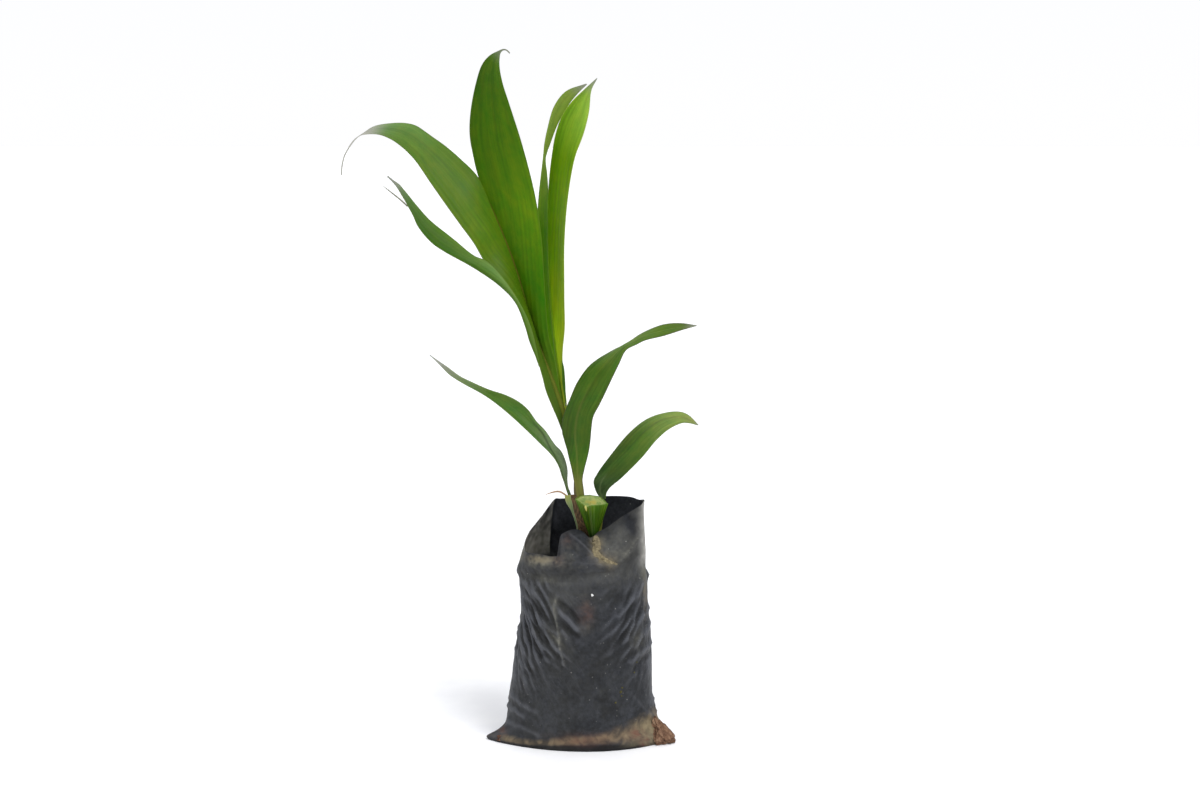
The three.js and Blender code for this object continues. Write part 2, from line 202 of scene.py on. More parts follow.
class Mesher:
    """Makes the pieces' meshes: a primitive is added, cut finer and moved to its places."""

    @staticmethod
    def fresh(name: str) -> bpy.types.Object:
        """Names the primitive that was just added.

        Args:
            name: The name.

        Returns:
            The piece.
        """
        piece = bpy.context.object
        piece.name = piece.data.name = name
        return piece

    @classmethod
    def tube(cls, name: str, sides: int, rings: int, place: Place,
             open_top: bool = False) -> bpy.types.Object:
        """A cylinder with its upright edges cut into rings, moved to its places.

        Args:
            name: The piece's name.
            sides: Points round each ring.
            rings: Steps from the bottom to the top.
            place: The point in millimetres at a turn in radians and a share of the height.
            open_top: Whether the top is left open.

        Returns:
            The piece, with the attributes turn and rise.
        """
        bpy.ops.object.select_all(action="DESELECT")
        bpy.ops.mesh.primitive_cylinder_add(vertices=sides, radius=1, depth=1, end_fill_type="TRIFAN")
        piece = cls.fresh(name)
        bpy.ops.object.mode_set(mode="EDIT")
        bpy.ops.mesh.select_mode(type="EDGE")
        bpy.ops.mesh.select_all(action="DESELECT")
        # More than a hundred rings are cut in two rounds
        for cuts in (rings // 2 - 1, 1) if rings > 100 else (rings - 1,):
            for edge in bmesh.from_edit_mesh(piece.data).edges:
                low, high = (corner.co.z for corner in edge.verts)
                edge.select_set(abs(high - low) > 0.001)
            bpy.ops.mesh.subdivide(number_cuts=cuts)
            bpy.ops.mesh.select_all(action="DESELECT")
        if open_top:
            bpy.ops.mesh.select_mode(type="VERT")
            bpy.ops.mesh.select_all(action="DESELECT")
            for corner in bmesh.from_edit_mesh(piece.data).verts:
                corner.select_set(corner.co.z > 0.499 and corner.co.xy.length < 0.5)
            bpy.ops.mesh.delete(type="VERT")
        bpy.ops.object.mode_set(mode="OBJECT")
        turns, rises = [], []
        for corner in piece.data.vertices:
            turn, rise = math.atan2(corner.co.y, corner.co.x) % math.tau, corner.co.z + 0.5
            centre = corner.co.xy.length < 0.5
            turns.append(turn)
            rises.append(rise)
            if centre:
                ring = [place(math.tau * k / 12, rise) for k in range(12)]
                corner.co = sum(ring, Vector()) / 12 * METRE
            else:
                corner.co = place(turn, rise) * METRE
        cls.mark(piece, "turn", [t / math.tau for t in turns])
        cls.mark(piece, "rise", rises)
        piece.data.update()
        return piece

    @classmethod
    def sheet(cls, name: str, across: int, along: int, place: Place) -> bpy.types.Object:
        """A grid moved to its places.

        Args:
            name: The piece's name.
            across: Faces over its width.
            along: Faces over its length.
            place: The point in millimetres at a share of the width and of the length.

        Returns:
            The piece, with the attributes across and along.
        """
        bpy.ops.object.select_all(action="DESELECT")
        bpy.ops.mesh.primitive_grid_add(x_subdivisions=across, y_subdivisions=along, size=1)
        piece = cls.fresh(name)
        shares = [(corner.co.x + 0.5, corner.co.y + 0.5) for corner in piece.data.vertices]
        for corner, (u, v) in zip(piece.data.vertices, shares):
            corner.co = place(u, v) * METRE
        cls.mark(piece, "across", [u for u, _ in shares])
        cls.mark(piece, "along", [v for _, v in shares])
        piece.data.update()
        return piece

    @staticmethod
    def mark(piece: bpy.types.Object, name: str, values: Sequence[float]) -> None:
        """Keeps a value for each point of the mesh, for its material to read."""
        layer = piece.data.attributes.get(name) or piece.data.attributes.new(name, "FLOAT", "POINT")
        layer.data.foreach_set("value", values)

    @staticmethod
    def read(piece: bpy.types.Object, name: str) -> list[float]:
        """Reads back a value for each point of the mesh.

        Args:
            piece: The piece.
            name: The values' name.

        Returns:
            The values.
        """
        values = [0.0] * len(piece.data.vertices)
        piece.data.attributes[name].data.foreach_get("value", values)
        return values

    @staticmethod
    def lay_veins(piece: bpy.types.Object, places: Sequence[tuple[float, float]]) -> None:
        """Lays the map that the veins follow.

        Args:
            piece: The piece.
            places: Millimetres across and along them, for each point.
        """
        layer = piece.data.uv_layers[0]
        layer.name = "veins"
        for loop in piece.data.loops:
            layer.data[loop.index].uv = places[loop.vertex_index]

    @staticmethod
    def raise_by(piece: bpy.types.Object, lift: Callable[[int, Vector], float]) -> None:
        """Moves each point along its normal by a number of millimetres.

        Args:
            piece: The piece to change.
            lift: The height for a point's index and its place in millimetres.
        """
        piece.data.update()
        moves = [corner.normal * lift(i, corner.co / METRE) for i, corner in enumerate(piece.data.vertices)]
        for corner, move in zip(piece.data.vertices, moves):
            corner.co += move * METRE
        piece.data.update()

    @staticmethod
    def finish(piece: bpy.types.Object, thickness: float = 0.0, offset: float = 0.0, levels: int = 0,
               angle: float = 60.0) -> None:
        """Applies the modifiers that finish a piece and smooths its shading.

        Args:
            piece: The piece.
            thickness: The wall that a sheet gets, in millimetres.
            offset: Which side of the sheet the wall goes, from -1 to 1.
            levels: Rounds of subdivision.
            angle: Edges sharper than this many degrees stay sharp.
        """
        bpy.ops.object.select_all(action="DESELECT")
        piece.select_set(True)
        bpy.context.view_layer.objects.active = piece
        if thickness:
            bpy.ops.object.modifier_add(type="SOLIDIFY")
            wall = piece.modifiers[-1]
            wall.thickness, wall.offset = thickness * METRE, offset
            bpy.ops.object.modifier_apply(modifier=wall.name)
        if levels:
            bpy.ops.object.modifier_add(type="SUBSURF")
            finer = piece.modifiers[-1]
            finer.levels = finer.render_levels = levels
            bpy.ops.object.modifier_apply(modifier=finer.name)
        bpy.ops.object.shade_smooth_by_angle(angle=math.radians(angle))


def linear(code: str) -> tuple[float, float, float, float]:
    """An sRGB hex colour as linear red, green, blue and alpha."""
    parts = [int(code[i:i + 2], 16) / 255 for i in (0, 2, 4)]
    return (*(p / 12.92 if p <= 0.04045 else ((p + 0.055) / 1.055) ** 2.4 for p in parts), 1.0)


# The sockets of a Mix node that mixes colours, and its result
SHARE, FIRST, SECOND, MIXED = 0, 6, 7, 2


def add_node(tree: bpy.types.NodeTree, kind: str, inputs: dict | None = None, stops: Stops = (),
             out: int | str = 0, **settings: object) -> bpy.types.NodeSocket | None:
    """Adds a node with its settings and links.

    Args:
        tree: The tree that it goes in.
        kind: The node's type without its ShaderNode prefix.
        inputs: A value or a socket to link for each input.
        stops: Place and hex colour of each stop of a colour ramp.
        out: The output that is handed back.
        settings: The node's own settings.

    Returns:
        That output, or nothing for a node without one.
    """
    node = tree.nodes.new(f"ShaderNode{kind}")
    for key, value in settings.items():
        setattr(node, key, value)
    for i, (place, code) in enumerate(stops):
        elements = node.color_ramp.elements
        stop = elements[i] if i < 2 else elements.new(place)
        stop.position, stop.color = place, linear(code)
    for key, value in (inputs or {}).items():
        if isinstance(value, bpy.types.NodeSocket):
            tree.links.new(value, node.inputs[key])
        else:
            node.inputs[key].default_value = value
    return node.outputs[out] if node.outputs else None


@dataclass(frozen=True)
class Finish(ABC):
    """A surface of one real material. Its subclass paints it."""

    name: str
    roughness: float
    specular: float = 0.5

    def material(self) -> bpy.types.Material:
        """The finish as a material, made the first time that it is asked for.

        Returns:
            The material.
        """
        if self.name in bpy.data.materials:
            return bpy.data.materials[self.name]
        made = bpy.data.materials.new(self.name)
        made.use_nodes = True
        made.node_tree.nodes.clear()
        add = partial(add_node, made.node_tree)
        surface = add("BsdfPrincipled", {"Specular IOR Level": self.specular, "Roughness": self.roughness})
        add("OutputMaterial", {"Surface": surface})
        for name, socket in self.paint(add).items():
            made.node_tree.links.new(socket, surface.node.inputs[name])
        return made

    def dress(self, piece: bpy.types.Object) -> None:
        """Gives a piece this finish alone."""
        piece.data.materials.clear()
        piece.data.materials.append(self.material())

    @abstractmethod
    def paint(self, add: Adder) -> Sockets:
        """Adds the nodes that give the shader its colour and relief.

        Args:
            add: Adds one node.

        Returns:
            What feeds the shader.
        """


@dataclass(frozen=True)
class Lamina(Finish):
    """Living palm lamina: waxy, with parallel veins under a satin skin.

    The eye sees a green that changes slowly along the blade and is streaked lengthwise, fine veins that
    catch the light, a pale hair line on the margins, and a tip that has dried grey-brown.
    """

    rib_side: Stops = ()
    margin_side: Stops = ()
    margin: str = "5f7034"
    rib: str = "5c5a26"
    dried: str = "7f8272"
    streak: float = 0.16
    mottle: float = 0.012

    def paint(self, add: Adder) -> Sockets:
        """Adds the nodes of the lamina.

        Args:
            add: Adds one node.

        Returns:
            What feeds the shader.
        """
        mark = {name: add("Attribute", attribute_name=name, out="Fac")
                for name in ("across", "along", "margin", "rib", "wither")}
        veins = add("UVMap", uv_map="veins")
        inner = add("ValToRGB", {"Fac": mark["along"]}, stops=self.rib_side)
        outer = add("ValToRGB", {"Fac": mark["along"]}, stops=self.margin_side)
        green = add("Mix", {SHARE: mark["across"], FIRST: inner, SECOND: outer}, data_type="RGBA", out=MIXED)
        # Streaks about 9 mm wide and ten times as long
        wide = add("Mapping", {"Vector": veins, "Scale": (1 / 9, 1 / 90, 1)})
        bands = add("TexNoise", {"Vector": wide, "Scale": 1.0, "Detail": 2.0})
        # Veins are 0.9 mm apart and are drawn at 1.8 mm, as coarse as they need to be to show
        thin = add("Mapping", {"Vector": veins, "Scale": (1 / 1.8, 1 / 60, 1)})
        lines = add("TexNoise", {"Vector": thin, "Scale": 1.0, "Detail": 3.0})
        both = add("Math", {0: bands, 1: lines}, operation="ADD")
        value = add("MapRange", {"Value": both, "From Min": 0.7, "From Max": 1.3, "To Min": 1 - self.streak,
                                 "To Max": 1 + self.streak})
        # Mottling of 5 to 15 mm turns the green towards yellow here and there
        mottle = add("Mapping", {"Vector": veins, "Scale": (1 / 9, 1 / 16, 1)})
        patches = add("TexNoise", {"Vector": mottle, "Scale": 1.0, "Detail": 4.0, "Roughness": 0.6})
        hue = add("MapRange", {"Value": patches, "From Min": 0.3, "From Max": 0.7,
                               "To Min": 0.5 - self.mottle, "To Max": 0.5 + self.mottle})
        deep = add("MapRange", {"Value": patches, "From Min": 0.3, "From Max": 0.7,
                                "To Min": 1 + 4 * self.mottle, "To Max": 1 - 4 * self.mottle})
        value = add("Math", {0: value, 1: deep}, operation="MULTIPLY")
        green = add("HueSaturation", {"Hue": hue, "Value": value, "Color": green})
        for name, code in (("rib", self.rib), ("margin", self.margin), ("wither", self.dried)):
            green = add("Mix", {SHARE: mark[name], FIRST: green, SECOND: linear(code)}, data_type="RGBA",
                        out=MIXED)
        rough = add("MapRange", {"Value": bands, "To Min": self.roughness - 0.07,
                                 "To Max": self.roughness + 0.07})
        bump = add("Bump", {"Strength": 0.2, "Distance": 0.25 * METRE, "Height": lines})
        return {"Base Color": green, "Roughness": rough, "Normal": bump}


@dataclass(frozen=True)
class StalkSkin(Finish):
    """The smooth skin of a leaf stalk: olive, flushed purple-brown on one side, with lengthwise fibres."""

    skin: Stops = ()
    flush: str = "5a4433"
    flush_side: float = 0.5
    flush_share: float = 0.5

    def paint(self, add: Adder) -> Sockets:
        """Adds the nodes of the skin.

        Args:
            add: Adds one node.

        Returns:
            What feeds the shader.
        """
        turn = add("Attribute", attribute_name="turn", out="Fac")
        rise = add("Attribute", attribute_name="rise", out="Fac")
        skin = add("ValToRGB", {"Fac": rise}, stops=self.skin)
        off = add("Math", {0: turn, 1: self.flush_side}, operation="SUBTRACT")
        swing = add("Math", {0: off, 1: math.tau}, operation="MULTIPLY")
        facing = add("Math", {0: swing}, operation="COSINE")
        spots = add("TexCoord", out="Object")
        # Fibres 1.1 mm wide and 17 mm long
        fibres = add("Mapping", {"Vector": spots, "Scale": (900, 900, 60)})
        grain = add("TexNoise", {"Vector": fibres, "Scale": 1.0, "Detail": 3.0})
        stain = add("Math", {0: facing, 1: grain}, operation="ADD")
        amount = add("MapRange", {"Value": stain, "From Min": 0.9, "From Max": 1.6, "To Min": 0.0,
                                  "To Max": self.flush_share})
        tone = add("Mix", {SHARE: amount, FIRST: skin, SECOND: linear(self.flush)}, data_type="RGBA",
                   out=MIXED)
        value = add("MapRange", {"Value": grain, "From Min": 0.3, "From Max": 0.7, "To Min": 0.8,
                                 "To Max": 1.2})
        tone = add("HueSaturation", {"Value": value, "Color": tone})
        bump = add("Bump", {"Strength": 0.4, "Distance": 0.2 * METRE, "Height": grain})
        return {"Base Color": tone, "Normal": bump}


@dataclass(frozen=True)
class DriedFibre(Finish):
    """Withered sheath and leaf tissue: papery, matt and split into brown and straw fibres."""

    dark: str = "5b4636"
    pale: str = "a98e6a"
    fibre: float = 0.8

    def paint(self, add: Adder) -> Sockets:
        """Adds the nodes of the fibres.

        Args:
            add: Adds one node.

        Returns:
            What feeds the shader.
        """
        spots = add("TexCoord", out="Object")
        # The fibres are drawn at their own width and twelve times as long
        scale = 1 / (self.fibre * METRE)
        stretched = add("Mapping", {"Vector": spots, "Scale": (scale, scale, scale / 12)})
        grain = add("TexNoise", {"Vector": stretched, "Scale": 1.0, "Detail": 4.0})
        tone = add("ValToRGB", {"Fac": grain}, stops=((0.35, self.dark), (0.68, self.pale)))
        bump = add("Bump", {"Strength": 0.6, "Distance": 0.3 * METRE, "Height": grain})
        return {"Base Color": tone, "Normal": bump}


@dataclass(frozen=True)
class CutTissue(Finish):
    """Freshly cut leaf layers: wet pale green pith between darker skins."""

    pith: str = "86934f"
    layer: str = "687e37"
    core: str = "978b34"

    def paint(self, add: Adder) -> Sockets:
        """Adds the nodes of the cut layers.

        Args:
            add: Adds one node.

        Returns:
            What feeds the shader.
        """
        spots = add("TexCoord", out="Object")
        blotch = add("TexNoise", {"Vector": spots, "Scale": 260.0, "Detail": 4.0})
        tone = add("ValToRGB", {"Fac": blotch}, stops=((0.38, self.layer), (0.58, self.pith)))
        # The oldest layers in the middle are yellower
        rise = add("Attribute", attribute_name="rise", out="Fac")
        inner = add("Math", {0: blotch, 1: 1.1, 2: rise}, operation="MULTIPLY_ADD")
        inner = add("MapRange", {"Value": inner, "From Min": 1.15, "From Max": 1.45, "To Max": 0.85})
        tone = add("Mix", {SHARE: inner, FIRST: tone, SECOND: linear(self.core)}, data_type="RGBA",
                   out=MIXED)
        bump = add("Bump", {"Strength": 0.5, "Distance": 0.3 * METRE, "Height": blotch})
        return {"Base Color": tone, "Normal": bump}


@dataclass(frozen=True)
class DustyPolythene(Finish):
    """Blown black polythene film, thin and crumpled by hand.

    The eye sees blue-black plastic with soft broken lights on its creases, scuffed along them, dulled by
    olive dust at the shoulder and in the mouth, and by dried mud along the bottom. Painted highlight and
    shade pick out the folds, a painted sheen lies along its right fold, painted light with pale dust on its
    inner left wall, and painted shade along the weld.
    """

    clean: Stops = ((0.25, "17181b"), (0.5, "24262a"), (0.75, "33353a"))
    # The darkest tone is painted shade, for the fold hollows, the strip over the weld and the neck's right
    # panel
    painted_shade: str = "0e0f12"
    # The pale scuff tone serves both real scuffs and the painted highlight on fold crests
    scuff_and_highlight: str = "54565c"
    dust: str = "68675f"
    sand: str = "877b60"
    # The pale tone serves dust specks and haze, the painted sheen on the right fold and the painted light on
    # the inner left wall
    haze: str = "9d9b95"
    clay: str = "6a4a3e"
    mud: Stops = ((0.34, "4a443b"), (0.5, "6c604e"), (0.68, "85775f"))

    def paint(self, add: Adder) -> Sockets:
        """Adds the nodes of the film.

        Args:
            add: Adds one node.

        Returns:
            What feeds the shader.
        """
        mark = {name: add("Attribute", attribute_name=name, out="Fac")
                for name in ("dust", "sand", "mud", "clay", "haze", "scuffed", "ridge", "lean")}
        spots = add("TexCoord", out="Object")
        cloud = add("TexNoise", {"Vector": spots, "Scale": 45.0, "Detail": 5.0, "Roughness": 0.6})
        speck = add("TexNoise", {"Vector": spots, "Scale": 420.0, "Detail": 3.0})
        # Small creases, 4 mm wide and 28 mm long, fall away from both flanks towards the middle, with
        # scuffs along them that are hair lines, drawn 0.9 mm wide
        slants, scratches = [], []
        for turn in (-0.56, 0.56):
            for found, size, detail in ((slants, (4, 6, 28), 3.0), (scratches, (0.9, 1.4, 20), 2.0)):
                slant = add("Mapping", {"Vector": spots, "Rotation": (0, turn, 0),
                                        "Scale": [width * METRE for width in size]}, vector_type="TEXTURE")
                found.append(add("TexNoise", {"Vector": slant, "Scale": 1.0, "Detail": detail,
                                              "Distortion": 0.4}))
        crease = add("Mix", {0: mark["lean"], 2: slants[0], 3: slants[1]}, data_type="FLOAT")
        scratch = add("Mix", {0: mark["lean"], 2: scratches[0], 3: scratches[1]}, data_type="FLOAT")
        mottle = add("TexNoise", {"Vector": spots, "Scale": 260.0, "Detail": 4.0, "Roughness": 0.7})
        mottled = add("Math", {0: mottle, 1: 0.9, 2: -0.45}, operation="MULTIPLY_ADD")
        mottled = add("Math", {0: mottled, 1: cloud}, operation="ADD")
        tone = add("ValToRGB", {"Fac": mottled}, stops=self.clean)
        # Folds are painted pale along their ridges, partly rubbing and partly painted highlight, and dark in
        # their hollows as painted shade
        swell = add("MapRange", {"Value": crease, "From Min": 0.3, "From Max": 0.7, "To Min": -0.2,
                                 "To Max": 0.2})
        relief = add("Math", {0: swell, 1: mark["scuffed"], 2: mark["ridge"]}, operation="MULTIPLY_ADD")
        # Painted shade goes in the fold hollows, along the weld and on the neck's right panel
        deep = add("MapRange", {"Value": relief, "From Min": 0.48, "From Max": 0.1, "To Max": 0.8})
        rubbed_and_highlit = add("MapRange", {"Value": relief, "From Min": 0.52, "From Max": 0.95, "To Max": 0.75})
        # Hair-line scuffs are real wear, and the crests add their painted highlight
        wear_and_painted_sheen = add("MapRange", {"Value": scratch, "From Min": 0.52, "From Max": 0.8, "To Max": 0.7})
        wear_and_painted_sheen = add("Math", {0: wear_and_painted_sheen, 1: mark["scuffed"], 2: rubbed_and_highlit}, operation="MULTIPLY_ADD",
                   use_clamp=True)
        # Dust lies in soft patches of 6 to 20 mm, thicker where more of it fell
        wipe = add("TexNoise", {"Vector": spots, "Scale": 110.0, "Detail": 5.0, "Distortion": 0.8})
        patchy = add("MapRange", {"Value": wipe, "From Min": 0.25, "From Max": 0.75, "To Min": 0.5,
                                  "To Max": 1.5})
        thin = add("Math", {0: patchy, 1: mark["dust"]}, operation="MULTIPLY", use_clamp=True)
        cells = add("TexVoronoi", {"Vector": spots, "Scale": 190.0})
        speckled = add("MapRange", {"Value": cells, "From Min": 0.12, "From Max": 0.05, "To Max": 0.6})
        few = add("MapRange", {"Value": mottle, "From Min": 0.48, "From Max": 0.62})
        speckled = add("Math", {0: speckled, 1: few}, operation="MULTIPLY")
        # A pale sheen is painted outside along its right fold, and inside, where its share is below zero,
        # pale dust with painted light on its left wall
        level = add("VectorMath", {0: spots, 1: (1, 1, 0)}, operation="MULTIPLY")
        facing = add("VectorMath", {0: add("NewGeometry", out="Normal"), 1: level},
                     operation="DOT_PRODUCT", out="Value")
        side = add("Math", {0: facing}, operation="SIGN")
        sided_pale_dust_and_light = add("Math", {0: side, 1: mark["haze"]}, operation="MULTIPLY")
        pale_dust_and_light_share = add("Math", {0: patchy, 1: sided_pale_dust_and_light}, operation="MULTIPLY", use_clamp=True)
        veil = add("Math", {0: thin, 1: pale_dust_and_light_share}, operation="MAXIMUM")
        both = add("Math", {0: speck, 1: wipe}, operation="ADD")
        grains = add("MapRange", {"Value": both, "From Min": 0.7, "From Max": 1.25, "To Min": 0.5,
                                  "To Max": 1.25})
        spilt = add("Math", {0: grains, 1: mark["sand"]}, operation="MULTIPLY", use_clamp=True)
        # Mud cakes evenly where it is thick and in patches where it thins out
        edge = add("Math", {0: mark["mud"], 1: 1.25, 2: -0.25}, operation="MULTIPLY_ADD")
        edge = add("Math", {0: wipe, 1: 0.45, 2: edge}, operation="MULTIPLY_ADD")
        caked = add("MapRange", {"Value": edge, "From Min": 0.12, "From Max": 1.1, "To Max": 0.95})
        mud = add("ValToRGB", {"Fac": wipe}, stops=self.mud)
        red = add("Math", {0: patchy, 1: mark["clay"]}, operation="MULTIPLY", use_clamp=True)
        # Each layer covers the ones before it
        for share, over in ((deep, linear(self.painted_shade)), (wear_and_painted_sheen, linear(self.scuff_and_highlight)),
                            (thin, linear(self.dust)), (speckled, linear(self.haze)),
                            (pale_dust_and_light_share, linear(self.haze)), (caked, mud), (red, linear(self.clay)),
                            (spilt, linear(self.sand))):
            tone = add("Mix", {SHARE: share, FIRST: tone, SECOND: over}, data_type="RGBA", out=MIXED)
        dull = add("Math", {0: veil, 1: caked}, operation="ADD", use_clamp=True)
        rough = add("MapRange", {"Value": dull, "To Min": self.roughness, "To Max": 0.85})
        depth = add("MapRange", {"Value": mark["scuffed"], "To Min": 0.12, "To Max": 0.85})
        bump = add("Bump", {"Strength": depth, "Distance": 1.3 * METRE, "Height": crease})
        gritty = add("Bump", {"Strength": 0.2, "Distance": 0.3 * METRE, "Height": speck, "Normal": bump})
        return {"Base Color": tone, "Roughness": rough, "Normal": gritty}


@dataclass(frozen=True)
class Earth(Finish):
    """Loose mineral soil, as grains: loam, sand or crumbling laterite by its tones."""

    tones: Stops = ()
    grain: float = 1.5
    depth: float = 0.8

    def paint(self, add: Adder) -> Sockets:
        """Adds the nodes of the grains.

        Args:
            add: Adds one node.

        Returns:
            What feeds the shader.
        """
        spots = add("TexCoord", out="Object")
        coarse = add("TexNoise", {"Vector": spots, "Scale": 0.35 / (self.grain * METRE), "Detail": 6.0,
                                  "Roughness": 0.65})
        cells = add("TexVoronoi", {"Vector": spots, "Scale": 1 / (self.grain * METRE)})
        tone = add("ValToRGB", {"Fac": coarse}, stops=self.tones)
        height = add("Math", {0: coarse, 1: cells}, operation="SUBTRACT")
        bump = add("Bump", {"Strength": 0.8, "Distance": self.depth * METRE, "Height": height})
        return {"Base Color": tone, "Normal": bump}


@dataclass(frozen=True)
class MattPaper(Finish):
    """The studio floor's matt white paper, with a faint tooth."""

    white: Stops = ((0.3, "f2f2f4"), (0.7, "f7f7f8"))

    def paint(self, add: Adder) -> Sockets:
        """Adds the nodes of the paper.

        Args:
            add: Adds one node.

        Returns:
            What feeds the shader.
        """
        spots = add("TexCoord", out="Object")
        tooth = add("TexNoise", {"Vector": spots, "Scale": 30.0, "Detail": 3.0})
        white = add("ValToRGB", {"Fac": tooth}, stops=self.white)
        return {"Base Color": white}


FILM = DustyPolythene("blown_polythene_film", roughness=0.46, specular=0.13)
LOAM = Earth("moist_sandy_loam", roughness=0.95, specular=0.2, grain=1.6, depth=1.0,
             tones=((0.3, "2f271e"), (0.55, "574836"), (0.75, "7d6c52")))
SAND = Earth("dry_river_sand", roughness=0.95, specular=0.2, grain=0.8, depth=0.35,
             tones=((0.3, "5f5846"), (0.5, "776d55"), (0.7, "8f8468")))
CHALK = Earth("lime_chip", roughness=0.9, specular=0.2, grain=0.6, depth=0.1,
              tones=((0.3, "d8d8d4"), (0.7, "f0f0ee")))
OCHRE = Earth("ochre_grit", roughness=0.9, specular=0.2, grain=0.6, depth=0.1,
              tones=((0.3, "3c3a24"), (0.7, "545030")))
LATERITE = Earth("crumbling_laterite", roughness=0.95, specular=0.2, grain=2.2, depth=1.5,
                 tones=((0.3, "463027"), (0.5, "785b47"), (0.7, "9b8068")))
PAPER = MattPaper("matt_white_paper", roughness=0.9, specular=0.1)
STRAW = DriedFibre("dried_leaf_fibre", roughness=0.8, specular=0.25, dark="8a6a50", pale="c3a27e")
BARK = DriedFibre("dried_sheath_fibre", roughness=0.75, specular=0.2, dark="2c2016", pale="70593a",
                  fibre=0.6)
PITH = CutTissue("cut_leaf_tissue", roughness=0.5, specular=0.4)
SHEATH = StalkSkin("fleshy_sheath_skin", roughness=0.42, specular=0.4, flush="6a4a36", flush_side=0.62,
                   flush_share=0.7, skin=((0.0, "8a7f52"), (0.5, "7f8c55"), (1.0, "6f7d3f")))
SAP = StalkSkin("dried_leaf_sap", roughness=0.45, specular=0.3, flush="a39c4e", flush_side=0.5,
                flush_share=0.3, skin=((0.0, "b4b062"), (1.0, "a09a4a")))
OLIVE = StalkSkin("olive_stalk_skin", roughness=0.45, specular=0.25, flush="5f4630", flush_side=0.5,
                  flush_share=0.55,
                  skin=((0.0, "6f6a33"), (0.2, "6d7030"), (0.6, "55581a"), (0.8, "5a5420"), (1.0, "5e4e22")))
RACHIS = StalkSkin("tall_rachis_skin", roughness=0.65, specular=0.03, flush="4c3c10", flush_side=0.95,
                   flush_share=0.6,
                   skin=((0.0, "6d6a32"), (0.2, "5c661e"), (0.38, "586220"), (0.55, "4e5216"),
                         (0.8, "524e18"), (1.0, "4c4a16")))
LOW_GREEN = StalkSkin("green_stalk_skin", roughness=0.5, specular=0.1, flush="3c4a30", flush_share=0.3,
                      skin=((0.0, "5d6340"), (0.5, "566544"), (1.0, "4f6640")))
YOUNG_OLIVE = StalkSkin("young_stalk_skin", roughness=0.5, specular=0.1, flush="6c7a1c", flush_share=0.3,
                        skin=((0.0, "66762a"), (0.3, "5a6c14"), (0.5, "5a7c08"), (1.0, "4f7c04")))
WITHERED = DriedFibre("withered_leaf_thread", roughness=0.7, specular=0.2, dark="66685a", pale="93927e",
                      fibre=0.5)

# The lighter foot stops beside the rib are painted light against the shade between the halves
TALL_RIGHT = Lamina(
    "tall_leaf_right_lamina", roughness=0.45, specular=0.06, streak=0.16, mottle=0.018, margin="4c681a",
    rib_side=((0.0, "4a5e12"), (0.15, "4a621a"), (0.35, "3e6406"),
              (0.6, "3e6201"), (0.75, "395b01"), (0.88, "345602"), (1.0, "466613")),
    margin_side=((0.0, "4e6c0f"), (0.2, "375901"), (0.4, "356600"), (0.58, "567a0a"),
                 (0.75, "446908"), (0.88, "446908"), (1.0, "51701c")))
# Its greyer stops towards the tip are painted highlight, the sheen along its top edge, over its own green
TALL_LEFT = Lamina(
    "tall_leaf_left_lamina", roughness=0.42, specular=0.08, mottle=0.016, dried="a4a398",
    rib_side=((0.0, "3a511a"), (0.3, "3b5a08"), (0.5, "46670a"), (0.7, "4a681c"), (0.8, "5a7a3c"),
              (0.9, "7c8f6c")),
    margin_side=((0.0, "42591a"), (0.3, "435e08"), (0.5, "4d6a0a"), (0.7, "4a6614"), (0.8, "52702a"),
                 (0.9, "6d8550")))
YOUNG_BACK = Lamina(
    "young_leaf_back_lamina", roughness=0.5, specular=0.04, margin="46641c",
    rib_side=((0.0, "38590e"), (0.6, "3a5c0e"), (1.0, "4c6c12")),
    margin_side=((0.0, "3a5c12"), (0.6, "2f5010"), (1.0, "45641a")))
TALL_OUTER = Lamina(
    "tall_leaf_outer_lamina", roughness=0.45, specular=0.06, dried="83867a",
    rib_side=((0.0, "55702a"), (0.4, "668442"), (0.7, "4a691e"), (0.86, "48682a"), (1.0, "7f8a6c")),
    margin_side=((0.0, "456214"), (0.4, "34560a"), (0.7, "315410"), (0.86, "3c5a24"), (1.0, "6b7460")))
# Its pale yellow-green foot is partly its own colour and partly painted glow of light through the blade; the
# paler stops near the tip are painted highlight
YOUNG_RIGHT = Lamina(
    "young_leaf_right_lamina", roughness=0.42, specular=0.06, margin="a3ad5a", streak=0.22,
    rib_side=((0.0, "a9b83a"), (0.25, "7f9f12"), (0.5, "517a00"), (0.75, "4d7600"), (0.9, "628a14"),
              (1.0, "708f2e")),
    margin_side=((0.0, "b0c03c"), (0.25, "9db51c"), (0.5, "769e05"), (0.75, "6a9010"), (0.9, "84a63a"),
                 (1.0, "76923c")))
